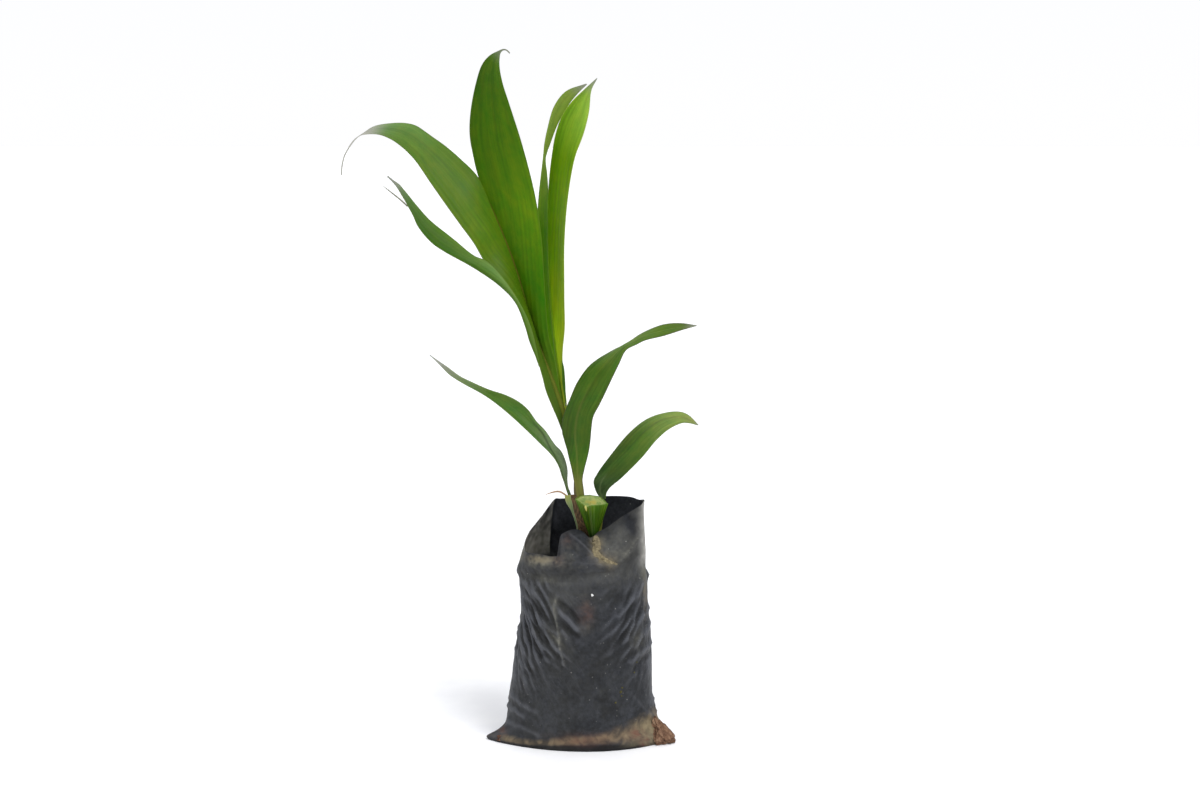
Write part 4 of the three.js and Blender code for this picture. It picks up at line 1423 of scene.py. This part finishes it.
@dataclass(frozen=True)
class Limb:
    """A tapering round stalk along a path, with a radius for each knot."""

    name: str
    path: tuple[Point, ...]
    radii: tuple[float, ...]
    finish: Finish
    node: str = ""
    slot: str = "stalk"
    sides: int = 20
    rings: int = 60
    channel: float = 0.0
    ridges: float = 0.0
    level: bool = False

    def build(self) -> bpy.types.Object:
        """The limb, with its slight ridges.

        Returns:
            The limb.
        """
        curve = Curve(self.path)
        frames = self.frames(curve)

        def place(turn: float, rise: float) -> Vector:
            """A point of the skin.

            Args:
                turn: In radians.
                rise: Share of the length.

            Returns:
                The point.
            """
            centre, first, second = frames[round(rise * self.rings)]
            radius = along(self.radii, curve.knot_share(rise))
            groove = self.channel * max(0, math.cos(turn)) ** 6
            radius *= 1 + self.ridges * math.cos(turn * 7 + 2 * rise) - groove
            return centre + (first * math.cos(turn) + second * math.sin(turn)) * radius

        limb = Mesher.tube(self.name, self.sides, self.rings, place)
        Mesher.finish(limb, angle=60)
        self.finish.dress(limb)
        if self.node:
            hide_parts(self.node)
        return limb

    def frames(self, curve: Curve) -> list[tuple[Vector, Vector, Vector]]:
        """Centre and two square directions at each ring, turned no more than the path asks.

        Args:
            curve: The path.

        Returns:
            The three for each ring.
        """
        frames = []
        first = Vector((1, 0, 0))
        for i in range(self.rings + 1):
            way = Vector((0, 0, 1)) if self.level else curve.toward(i / self.rings)
            first = (first - way * first.dot(way)).normalized()
            frames.append((curve.at(i / self.rings), first.copy(), way.cross(first)))
        return frames


@dataclass(frozen=True)
class Blade:
    """A leaf blade between two margins, from its foot to its tip.

    The inner margin is the one beside the midrib, when the blade is half of a split leaf. The camber bows
    it, a fold runs along its fold line, given as shares of its length and width, and rib_reach is how far a
    midrib shows along it.
    """

    name: str
    inner: tuple[Point, ...]
    outer: tuple[Point, ...]
    finish: Finish
    thread: tuple[Point, ...] = ()
    node: str = ""
    slot: str = "leaf"
    camber: float = 0.0
    pleat: float = 0.16
    pleat_spacing: float = 4.2
    fold: float = 0.0
    fold_line: tuple[tuple[float, float], ...] = ((0, 0.5), (1, 0.5))
    rib_reach: float = 0.0
    joined: float = 0.0
    wave: float = 0.6
    faces: tuple[int, int] = (26, 110)
    thickness: float = 0.45
    thread_width: float = 0.9
    withered: float = 0.96

    def margins(self) -> tuple[Curve, Curve]:
        """Both margins, with the withered thread added half its width to each side.

        Returns:
            The inner and the outer margin.
        """
        edges = [[Vector(p) for p in margin] for margin in (self.inner, self.outer)]
        line = [(edges[0][-1] + edges[1][-1]) / 2, *(Vector(p) for p in self.thread)]
        aside = edges[0][-2] - edges[1][-2]
        for before, here in zip(line, line[1:]):
            way = (here - before).normalized()
            aside = (aside - way * aside.dot(way)).normalized()
            for edge, half in zip(edges, (self.thread_width / 2, -self.thread_width / 2)):
                edge.append(here + aside * half)
        return Curve(edges[0]), Curve(edges[1])

    def build(self) -> bpy.types.Object:
        """The blade, with its pleats, fold and curl.

        Returns:
            The blade.
        """
        inner, outer = self.margins()
        across, along_count = self.faces
        starts = [inner.at(i / along_count) for i in range(along_count + 1)]
        ends = [outer.at(i / along_count) for i in range(along_count + 1)]
        middles = [(a + b) / 2 for a, b in zip(starts, ends)]
        runs, spreads = [0.0], [(ends[0] - starts[0]).length]
        for i in range(1, along_count + 1):
            runs.append(runs[-1] + (middles[i] - middles[i - 1]).length)
            spreads.append(max(spreads[-1], (ends[i] - starts[i]).length))
        seed = sum(map(ord, self.name)) / 7

        def place(u: float, v: float) -> Vector:
            """A point of the blade's middle layer.

            Args:
                u: Share of the width.
                v: Share of the length.

            Returns:
                The point.
            """
            i = round(v * along_count)
            over = ends[i] - starts[i]
            width = over.length
            rise = middles[min(i + 1, along_count)] - middles[max(i - 1, 0)]
            face = over.cross(rise).normalized()
            bow = min(self.camber, width / 5, key=abs) if self.camber > 0 else max(self.camber, -width / 5)
            lift = bow * math.sin(math.pi * u) * math.sin(math.pi * min(1, v * 1.05 + 0.05))
            vein = (1 - u) * spreads[i]
            open_out = min(1.0, width / 12)
            lift += self.pleat * open_out * math.cos(math.tau * vein / self.pleat_spacing)
            lift -= self.fold * open_out * math.exp(-abs(u - through(self.fold_line, v)[0]) * width / 2.5)
            ripple = noise.noise(Vector((runs[i] / 38, seed, u * 0.7)))
            lift += self.wave * open_out * ripple * (0.3 + abs(u - 0.5) * 1.4)
            return starts[i] + over * u + face * lift

        blade = Mesher.sheet(self.name, across, along_count, place)
        self.mark(blade, starts, ends, spreads, runs)
        Mesher.finish(blade, thickness=self.thickness, levels=1, angle=75)
        self.finish.dress(blade)
        if self.node:
            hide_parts(self.node)
        return blade

    def mark(self, blade: bpy.types.Object, starts: list[Vector], ends: list[Vector], spreads: list[float],
             runs: list[float]) -> None:
        """Marks veins, margins, midrib and withered tip for the material.

        Args:
            blade: The blade.
            starts: Its inner margin, one point a row.
            ends: Its outer margin.
            spreads: The greatest width up to each row.
            runs: The length up to each row.
        """
        margin, rib, wither, veins = [], [], [], []
        for u, v in zip(Mesher.read(blade, "across"), Mesher.read(blade, "along")):
            i = round(v * (len(runs) - 1))
            width = (ends[i] - starts[i]).length
            free = min((1 - u) * width, u * width if v > self.joined else 99.0)
            margin.append(0.75 * (1 - smooth(0.2, 0.9, free)) * (1 - smooth(0.9, 1, v)))
            shown = 1 - smooth(self.rib_reach * 0.6, self.rib_reach, v) if self.rib_reach else 0.0
            rib.append(0.7 * shown * bell((u - through(self.fold_line, v)[0]) * width, 0, 0.8))
            wither.append(smooth(self.withered - 0.05, self.withered + 0.02, v))
            veins.append(((1 - u) * spreads[i], runs[i]))
        for name, values in (("margin", margin), ("rib", rib), ("wither", wither)):
            Mesher.mark(blade, name, values)
        Mesher.lay_veins(blade, veins)


TALL_RIB: tuple[Point, ...] = ((-14.4, 0, 274), (-22, 1.5, 296), (-38, 8, 340), (-57, 15, 401),
                               (-72, 21, 438), (-85, 26, 467))
YOUNG_RIB: tuple[Point, ...] = ((-16.5, 10, 285), (-21, 15, 319), (-26, 23, 366), (-28, 28, 415),
                                (-28, 31, 454))
TALL_FOOT: tuple[Point, ...] = ((-7.5, -1.2, 249), (-9.8, -0.8, 259))
YOUNG_FOOT: tuple[Point, ...] = ((-12, 8, 262),)
PARTING: tuple[Point, ...] = ((-45, -4, 352), (-63, -2, 382), (-79, 2, 399))


@dataclass(frozen=True)
class Stem:
    """The pseudostem of rolled sheaths, with the stalks that rise out of it."""

    path: tuple[Point, ...] = ((9, 1, 149.4), (7, 0, 166), (3.6, -0.5, 184), (-0.8, -1, 203))
    radii: tuple[float, ...] = (8, 5.4, 4.2, 3.3)

    def beside(self, height: float, bearing: float, radius: float) -> Point:
        """Where a stalk's centre starts so that it lies against the stem.

        Args:
            height: The height there.
            bearing: Degrees round the stem.
            radius: The stalk's radius.

        Returns:
            The point.
        """
        curve = Curve(self.path)
        share = min((abs(curve.at(i / 200).z - height), i / 200) for i in range(201))[1]
        reach = along(self.radii, curve.knot_share(share)) + radius * 0.6
        turn = math.radians(bearing)
        return (curve.at(share) + Vector((math.cos(turn), math.sin(turn), 0)) * reach).to_tuple()

    def build(self) -> list[bpy.types.Object]:
        """Makes the stem, its stalks and its loose sheaths.

        Returns:
            The pieces.
        """
        limbs = (
            Limb("pseudostem", self.path, self.radii, SHEATH, "stem", "stem", sides=36, ridges=0.05,
                 level=True),
            Limb("tall_leaf_rachis",
                 ((-1.2, -1, 202), (-4.4, -3, 224), (-7, -2, 245), (-9.8, -1.2, 259), *TALL_RIB),
                 (3.2, 2.9, 2.6, 2.4, 2.2, 2.0, 1.4, 0.95, 0.7, 0.5), RACHIS, "tall_leaf_stalk", rings=90,
                 channel=0.25),
            Limb("young_leaf_rachis",
                 (self.beside(190, 85, 2), (-2, 6, 207), (-6, 7, 227), (-11, 8, 256), *YOUNG_RIB),
                 (2, 2, 1.8, 1.5, 1.1, 1, 0.9, 0.7, 0.5), YOUNG_OLIVE, "young_leaf_stalk", rings=90,
                 channel=0.2),
            Limb("mid_right_petiole",
                 (self.beside(184, 262, 3), (-1.6, -8, 201), (-3.3, -8, 212), (-4, -8, 224)),
                 (3.2, 3.7, 3.6, 2.6), OLIVE, "mid_right_stalk", rings=30, channel=0.2),
            Limb("low_right_petiole", (self.beside(166, 14, 1.6), (15.5, 2, 184), (16.6, 2, 203)),
                 (1.6, 1.8, 2.1), OLIVE, "low_right_stalk", rings=30, channel=0.2),
            Limb("low_left_petiole",
                 (self.beside(178, 208, 1.8), (-4.5, -7, 191.5), (-6.9, -6, 198), (-8.9, -5, 203.7),
                  (-11.2, -4.8, 212)),
                 (1.8, 2.2, 2.1, 1.7, 1.1), LOW_GREEN, "low_left_stalk", rings=30, channel=0.2),
            Limb("withered_scale", ((-12.4, -4.6, 207), (-18.5, -4, 210.4), (-24, -4, 210), (-30, -4, 208)),
                 (0.6, 0.75, 0.6, 0.2), STRAW, "dry_scale", "dry_leaf", sides=12, rings=24, ridges=0.15),
            Limb("sap_drip",
                 ((2.9, -37.3, 204.6), (3.2, -38, 203.3), (3.6, -37.6, 201.6), (3.9, -36.9, 200.1)),
                 (0.6, 0.95, 0.7, 0.25), SAP, slot="cut_leaf", sides=12, rings=12),
            Limb("leaflet_thread",
                 ((-141.4, 1.5, 444.1), (-143.8, 2, 446.6), (-147.3, 2.5, 449.7), (-150.9, 3, 452.6),
                  (-156.8, 3.5, 457.2), (-161, 4, 460.5)),
                 (0.5, 0.7, 0.65, 0.6, 0.45, 0.2), WITHERED, slot="leaf", sides=8, rings=24))
        sheaths = (
            Blade("green_sheath",
                  ((-14.3, -6, 207.6), (-14, -7, 205.3), (-12.6, -8, 201.4), (-9.3, -9, 196.3),
                   (-6.5, -9.5, 189.3), (-4.6, -8, 182.5), (-2.9, -7, 172.3)),
                  ((-9.5, -8.5, 208.8), (-8.7, -9.3, 206.5), (-7.4, -10.5, 202.4), (-6.6, -11, 197.3),
                   (-5, -11.5, 190.7), (-3.3, -10, 183.7), (-1.7, -8, 172.5)),
                  PALE_SHEATH, slot="stem", camber=-1.0, faces=(10, 40), wave=0.3, pleat=0.06),
            Blade("brown_sheath",
                  ((-9.8, -8, 208.7), (-9.2, -9, 206.1), (-7.9, -10.2, 202.1), (-7.1, -10.8, 197.2),
                   (-5.5, -11.2, 190.6), (-3.8, -9.8, 183.7), (-2.2, -7.8, 172.4)),
                  ((-4.4, -11, 209.5), (-4.7, -12.5, 205.8), (-2.7, -14, 201.5), (0.2, -14.5, 194.1),
                   (3.2, -14, 186.2), (5.8, -12, 180.4), (9, -9, 171)),
                  BARK, slot="stem", camber=-1.0, faces=(10, 40), wave=0.3, pleat=0.12))
        return [part.build() for part in (*limbs, *sheaths)]


@dataclass(frozen=True)
class Foliage:
    """All the blades: the tall split leaf, the young split leaf and the three entire leaves."""

    blades: tuple[Blade, ...] = (
        Blade("tall_leaf_left_half",
              (*TALL_FOOT, *TALL_RIB, (-100, 31.5, 482), (-111.9, 34, 492.1), (-123, 36.5, 500),
               (-131.1, 38, 505.8), (-137.5, 40, 509.6), (-147.4, 42, 511.4), (-161.9, 44, 510.6),
               (-170.1, 46, 509.2), (-174.8, 47, 507.5), (-179.5, 48, 504.3), (-183.9, 48.5, 501.3)),
              ((-12.7, -2.5, 253.2), (-16.7, -2.4, 261.5), (-19.5, -2.2, 268.9), (-22.6, -2, 276.3),
               (-25.4, -1.5, 282.9), (-29.6, -1, 293.6), (-32.2, -1, 304.3), (-35.2, -1.5, 315.1), *PARTING,
               (-88, 2.5, 414.5), (-97.9, 4, 427.7), (-108.5, 7, 441.9), (-124.2, 14, 463.7),
               (-138.2, 22, 482.7), (-152.5, 32, 495), (-161.3, 36, 499.7), (-167.3, 40, 501.5),
               (-173.4, 44, 502), (-179.4, 47, 501.6), (-184.2, 48.5, 500.8)),
              TALL_LEFT,
              ((-188.3, 49, 497.9), (-191.3, 50, 494.5), (-195.5, 51, 488.2), (-198, 52, 483.6),
               (-199.3, 52.5, 479), (-200.4, 53, 473.3), (-200.5, 53, 467.9)), "tall_leaf_left_lobe",
              camber=-2, joined=0.68, withered=0.87, pleat=0.08, thread_width=1.15),
        Blade("tall_leaf_parted_leaflet",
              ((-34.4, -2.6, 313.5), (-36.1, -4.4, 324.4), (-43.5, -4.2, 352), (-61.5, -2.3, 383),
               (-78, 1.6, 400), (-87.4, 3, 403.9), (-104.6, 2, 418.1), (-123.6, 2, 433.5), (-133, 3, 443.9),
               (-137, 4, 448.6), (-141, 5, 453.6), (-145.3, 6, 458.6), (-148.3, 6.5, 462.2),
               (-153.3, 7, 465.5), (-157.7, 8, 469)),
              ((-35.1, -2.8, 313.6), (-38.1, -4.2, 322.8), (-40.8, -4.8, 329.4), (-43.2, -4.8, 335.9),
               (-46, -4.8, 346), (-54, -4, 366), (-66, -3, 379), (-87.1, -4, 394), (-109.9, -6, 407.1),
               (-121.3, -6, 414.8), (-132.9, -3, 428), (-137, -1, 436.9), (-139.6, 0, 441.5),
               (-141.8, 1, 445.5), (-144, 2, 449.4), (-146.7, 4, 453.6), (-150, 5.5, 459),
               (-154.1, 7, 463.9), (-158.4, 8, 468)),
              TALL_OUTER, (), "tall_leaf_outer_lobe", camber=-1.5, joined=0.3, faces=(20, 80), pleat=0.08),
        Blade("tall_leaf_right_half",
              (*TALL_FOOT, *TALL_RIB, (-89.4, 27, 484.5), (-92, 27, 501.8), (-91, 26, 521), (-86.8, 22, 542),
               (-80.8, 16, 558.7), (-73.8, 12, 566.1), (-67.5, 9, 569)),
              ((-8.4, -0.8, 249), (-11.5, 0, 262.8), (-13.5, 0.5, 272.7), (-15.8, 1, 282.6),
               (-17.8, 1.2, 292.5), (-19.4, 1.5, 302.3), (-20.6, 2, 310.5), (-22.5, 2, 320.4), (-27, 2, 338),
               (-30.6, 4, 387.4), (-32.4, 5, 416.1), (-36.8, 6, 448.6), (-43.4, 6, 477.3), (-50.9, 5, 504),
               (-58.4, 4, 526.7), (-64, 3, 543.7), (-66.4, 3, 556.9), (-66.1, 5, 565), (-65.6, 6, 568)),
              TALL_RIGHT, ((-62.3, 4, 570.3), (-59.8, 2, 569.3), (-57.7, 1, 566.8)), "tall_leaf_right_lobe",
              camber=2, joined=0.62, withered=0.975, pleat=0.1, thread_width=1.1),
        Blade("young_leaf_left_half",
              (*YOUNG_FOOT, *YOUNG_RIB, (-29.1, 34, 470.8), (-30.3, 37, 481.4), (-26.4, 38, 494),
               (-19, 38, 512.4), (-9.2, 40, 528.4), (-1.4, 41, 537.4), (4.4, 42, 543)),
              ((-12.5, 8, 262), (-16.5, 11, 274), (-20, 14, 287), (-28, 24, 318), (-36, 34, 365),
               (-38, 42, 410), (-36.9, 44, 445.1), (-32.8, 48, 481.2), (-31.4, 48, 493.8), (-29, 49, 505.5),
               (-23.1, 50, 524.9), (-13.2, 48, 537.3), (3.4, 43, 543.3)),
              YOUNG_LEFT, (), "young_leaf_left_lobe", "young_leaf", camber=2, joined=0.6, faces=(20, 110),
              pleat=0.06, withered=0.985),
        Blade("young_leaf_right_half",
              (*YOUNG_FOOT, *YOUNG_RIB, (-26.7, 31, 470.9), (-24.3, 31, 488.3), (-21.8, 31, 501.8),
               (-16.9, 31, 516.2), (-9.1, 30, 527.8), (0.6, 30, 537.3), (10.3, 30, 546), (12.6, 30, 548)),
              ((-11.5, 7.5, 262), (-12, 7.5, 274), (-13, 8, 287), (-16, 12, 319), (-14, 12, 345),
               (-14.4, 12, 369.1), (-13.9, 12, 415.6), (-10.9, 12, 454.2), (-5.5, 14, 482.9),
               (1.6, 17, 502.9), (6, 22, 521), (7.9, 28, 538.3), (12.6, 30, 547.3)),
              YOUNG_RIGHT, (), "young_leaf_right_lobe", "young_leaf", camber=-2, joined=0.6, pleat=0.08,
              withered=0.985),
        Blade("young_leaf_back_fold",
              ((-16.7, 6, 318.3), (-16.6, 6, 311.7), (-16.4, 6, 305.1), (-15.9, 5.5, 296.9),
               (-14.5, 5, 287.8), (-13.6, 4, 280.5)),
              ((-16.4, 6, 318.7), (-14.8, 6.5, 312.5), (-14, 6.5, 305), (-13.6, 6, 296.8),
               (-13.3, 5.5, 287.8), (-13.3, 4.5, 280.4)),
              YOUNG_BACK, slot="young_leaf", camber=0.3, faces=(8, 40), wave=0.1, pleat=0.04),
        Blade("mid_right_blade",
              ((-4.5, -12, 205.8), (-5.6, -12, 214.1), (-7.1, -12, 223), (-8.8, -11, 231.9),
               (-10.5, -10, 238.5), (-12, -10, 245.3), (-14.1, -10, 252.7), (-16, -10, 259.7),
               (-16.4, -10, 265.9), (-15.4, -10.5, 273), (-12.9, -11, 280.5), (-9.8, -12, 288),
               (-3.5, -13, 302.5), (7.1, -14, 316.9), (24.4, -17, 328.5), (35.5, -20, 334.4),
               (49.3, -26, 344.3), (65.8, -32, 351.5), (79.4, -38, 353.1), (91.8, -46, 352.1)),
              ((2.4, -12, 205.8), (1.5, -12, 214.1), (0.6, -12, 221.9), (2, -13, 230), (4.1, -14, 238.4),
               (6, -16, 247), (7.2, -20, 255.8), (8.2, -23, 266.1), (9.6, -26, 275.5), (15.2, -30, 287.3),
               (24.6, -35, 307.5), (30.4, -36, 319.5), (36, -36, 330.8), (43.6, -37.5, 335.2),
               (50.8, -39, 339), (65.6, -42, 343.1), (82, -45, 348.7), (91.8, -46, 351.6)),
              MID_RIGHT, (), "mid_right_leaf", camber=4, rib_reach=0.55, fold=0.7, pleat=0.1,
              fold_line=((0, 0.5), (0.1, 0.5), (0.3, 0.52), (1, 0.46)),
              withered=0.985),
        Blade("low_right_blade",
              ((15.3, 2, 203.3), (12.2, 2.5, 208), (10.3, 3, 212.7), (9.5, 3, 218.2), (12.2, 4, 223.8),
               (24.6, 9, 240.3), (38.9, 15, 256.5), (53.3, 22, 267), (67.9, 29, 271.4), (81, 34, 271.9),
               (88.7, 38, 268.6), (97.8, 45, 259)),
              ((19.4, 1, 203.4), (20.3, 1, 208.5), (22.2, 0, 212), (25.5, -1, 215.5), (30.7, -2.5, 219.9),
               (38.9, -4, 228), (50.1, -2, 239.2), (61.5, 4, 252.3), (71.7, 12, 260.1), (82.1, 22, 263.6),
               (89, 33, 262.1), (97.8, 45, 258.5)),
              LOW_RIGHT, (), "low_right_leaf", camber=3, rib_reach=0.2, fold=0.6,
              fold_line=((0, 0.4), (1, 0.4)), pleat=0.1, withered=0.985),
        Blade("low_left_blade",
              ((-9.1, -5, 206.6), (-10.2, -5, 211.2), (-11.5, -4.5, 215.3), (-12, -4, 221),
               (-11.8, -3, 227.5), (-13.4, -2, 235.3), (-17.3, -1, 243.8), (-22.2, 0, 248.7),
               (-30.4, 2, 260.6), (-37.3, 4, 267.5), (-44.3, 8, 276.6), (-52.6, 12, 283), (-63.8, 16, 288.1),
               (-74.9, 19, 291.2), (-80.6, 22, 292.9), (-91.7, 24, 297.7), (-101.8, 27, 302.3),
               (-112.5, 30, 310), (-122.7, 33, 316.7), (-127.5, 34, 320)),
              ((-10.9, -5.5, 206.3), (-12.9, -6, 211.7), (-14.6, -6.5, 217.7), (-16.9, -7, 224),
               (-19, -8, 230.8), (-22.3, -8, 237.5), (-27.3, -8, 244.1), (-33.8, -6, 250.4),
               (-40.5, -3, 256.6), (-54.7, 1, 269.3), (-70.4, 7, 281.8), (-79.1, 12, 287.4),
               (-84.7, 15, 290.4), (-99.3, 21, 297.3), (-110.1, 26, 303.5), (-117.5, 30, 310.1),
               (-122.2, 32, 314.6), (-127.4, 34, 319.2)),
              LOW_LEFT, (), "low_left_leaf", camber=2, rib_reach=0.5, fold=0.9, faces=(20, 100), pleat=0.08,
              fold_line=((0, 0.9), (0.18, 0.9), (0.24, 0.6), (0.3, 0.34), (0.4, 0.2), (1, 0.2)),
              withered=0.93),
    )

    def build(self) -> list[bpy.types.Object]:
        """Makes the blades."""
        return [blade.build() for blade in self.blades]


@dataclass(frozen=True)
class CutLeaf:
    """The rolled leaf that was cut off: an angular pleated funnel round tight inner layers."""

    foot: Point = (9.4, -8.6, 164)
    foot_radius: float = 1.8
    throat: Point = (9.2, -15, 174)
    throat_radius: float = 2.6
    rim: tuple[Point, ...] = ((21.3, -25, 204.3), (18.1, -20, 206.6), (14.8, -16, 208.6), (6.6, -15, 209.8),
                              (-0.7, -15.5, 209.4), (-6, -20, 207.2), (-2.8, -27, 206.4), (1, -34, 204.8),
                              (4.2, -38, 203.4), (7, -37, 204.6), (11.6, -34, 204.4), (17.2, -30, 204.2))
    layers: float = 6.0

    def rim_point(self, turn: float) -> Vector:
        """The rim's edge at a turn, straight between its corners.

        Args:
            turn: In radians.

        Returns:
            The point.
        """
        place = turn / math.tau * len(self.rim)
        i = int(place) % len(self.rim)
        return Vector(self.rim[i]).lerp(Vector(self.rim[(i + 1) % len(self.rim)]), place - int(place))

    def round_point(self, middle: Point, radius: float, turn: float) -> Vector:
        """A point of a level circle."""
        return Vector(middle) + Vector((math.cos(turn), math.sin(turn), 0)) * radius

    def wall_point(self, turn: float, rise: float) -> Vector:
        """A point of the funnel, from its foot at rise 0 to its rim at 1.

        Args:
            turn: In radians.
            rise: Share of the way up.

        Returns:
            The point.
        """
        throat = self.round_point(self.throat, self.throat_radius, turn)
        if rise < 0.2:
            return self.round_point(self.foot, self.foot_radius, turn).lerp(throat, rise / 0.2)
        return throat.lerp(self.rim_point(turn), (rise - 0.2) / 0.8)

    def build(self) -> list[bpy.types.Object]:
        """Makes the funnel and the rolled layers inside it.

        Returns:
            Both pieces.
        """
        funnel = Mesher.tube("cut_leaf_funnel", sides=80, rings=40, place=self.wall_point, open_top=True)
        turns, rises = Mesher.read(funnel, "turn"), Mesher.read(funnel, "rise")

        def pleat(i: int, at: Vector) -> float:
            """The pleats' height at a point, which they reach above the throat."""
            return 0.18 * math.cos(turns[i] * math.tau * 20) * smooth(0.2, 0.5, rises[i])

        Mesher.raise_by(funnel, pleat)
        Mesher.mark(funnel, "across", [0.5 + 0.5 * math.sin(math.tau * t) for t in turns])
        Mesher.mark(funnel, "along", rises)
        Mesher.mark(funnel, "margin", [0.5 * smooth(0.98, 0.995, r) for r in rises])
        ribs = [0.6 * max(bell(t, 0.72, 0.01), bell(t, 0.75, 0.008),
                          0.6 * bell(t, 0.8, 0.01)) for t in turns]
        Mesher.mark(funnel, "rib", ribs)
        Mesher.lay_veins(funnel, [(turn * 60, rise * 38) for turn, rise in zip(turns, rises)])
        Mesher.finish(funnel, thickness=0.6, offset=-1, angle=25)
        CUT_GREEN.dress(funnel)
        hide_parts("cut_leaf")

        centre = sum((Vector(p) for p in self.rim), Vector()) / len(self.rim)

        def face_point(turn: float, rise: float) -> Vector:
            """A point of the cut: up inside the funnel's wall, then in over the sliced layers.

            Args:
                turn: In radians.
                rise: Share of the way.

            Returns:
                The point.
            """
            if rise < 0.25:
                edge = self.wall_point(turn, mix(0.82, 0.985, rise / 0.25))
                return edge.lerp(Vector((centre.x, centre.y, edge.z)), 0.05)
            way = (rise - 0.25) / 0.75
            edge = self.rim_point(turn).lerp(centre, 0.05)
            at = edge.lerp(centre, way) - Vector((0, 0, 0.35 + 0.8 * math.sin(math.pi * way) ** 2))
            layer = 0.28 * math.cos(math.tau * self.layers * way + turn) * smooth(0, 0.15, way) * (1 - way)
            return at + Vector((0, 0, layer + 0.35 * noise.noise(at / 3) + 0.2 * noise.noise(at / 1.1)))

        face = Mesher.tube("cut_leaf_layers", sides=96, rings=60, place=face_point)
        Mesher.finish(face, angle=50)
        PITH.dress(face)
        return [funnel, face]


@dataclass(frozen=True)
class Studio:
    """The pale floor, the soft light and the camera."""

    camera_at: Point = (14.8, -1784.6, 520.95)
    pitch: float = 82.5
    lens: float = 65.85
    floor_size: float = 60.0
    room: Stops = ((0.0, "cfcfd1"), (0.12, "cccdd0"), (0.3, "6b6e75"), (0.52, "6d7078"), (0.72, "c4c6ca"),
                   (0.85, "ffffff"))
    sensor: float = 36.0
    far: float = 200.0
    brightness: float = 1.6
    sun: float = 1.7
    sun_angle: float = 24.0
    sun_turn: tuple[float, float, float] = (42, 0, 34)

    def build(self) -> None:
        """Makes the floor, the lights and the camera."""
        bpy.ops.object.select_all(action="DESELECT")
        bpy.ops.mesh.primitive_plane_add(size=self.floor_size, location=(0, 0, -0.0002))
        floor = Mesher.fresh("studio_floor")
        PAPER.dress(floor)
        scene = bpy.context.scene
        scene.view_settings.view_transform = "Standard"
        scene.world = scene.world or bpy.data.worlds.new("soft_room")
        scene.world.use_nodes = True
        room = scene.world.node_tree
        room.nodes.clear()
        way = add_node(room, "TexCoord", out="Generated")
        height = add_node(room, "SeparateXYZ", {"Vector": way}, out="Z")
        white = add_node(room, "ValToRGB", {"Fac": height}, stops=self.room)
        air = add_node(room, "Background", {"Color": white, "Strength": self.brightness})
        add_node(room, "OutputWorld", {"Surface": air})
        bpy.ops.object.light_add(type="SUN", rotation=[math.radians(a) for a in self.sun_turn])
        sun = bpy.context.object
        sun.name, sun.data.energy, sun.data.angle = "window_light", self.sun, math.radians(self.sun_angle)
        bpy.ops.object.camera_add(location=Vector(self.camera_at) * METRE,
                                  rotation=(math.radians(self.pitch), 0, 0))
        camera = bpy.context.object
        camera.data.lens, camera.data.sensor_width, camera.data.clip_end = self.lens, self.sensor, self.far
        scene.camera = camera


def main() -> None:
    """Builds the seedling in order, then the studio, and reports each piece."""
    for group in (NurseryBag(), Stem(), Foliage(), CutLeaf()):
        made = group.build()
        for piece in made:
            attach(piece, "root")
            log.info("%s: %s has %d faces", type(group).__name__, piece.name, len(piece.data.polygons))
    Studio().build()


if __name__ == "__main__":
    logging.basicConfig(level=logging.INFO, format="%(message)s")
    main()
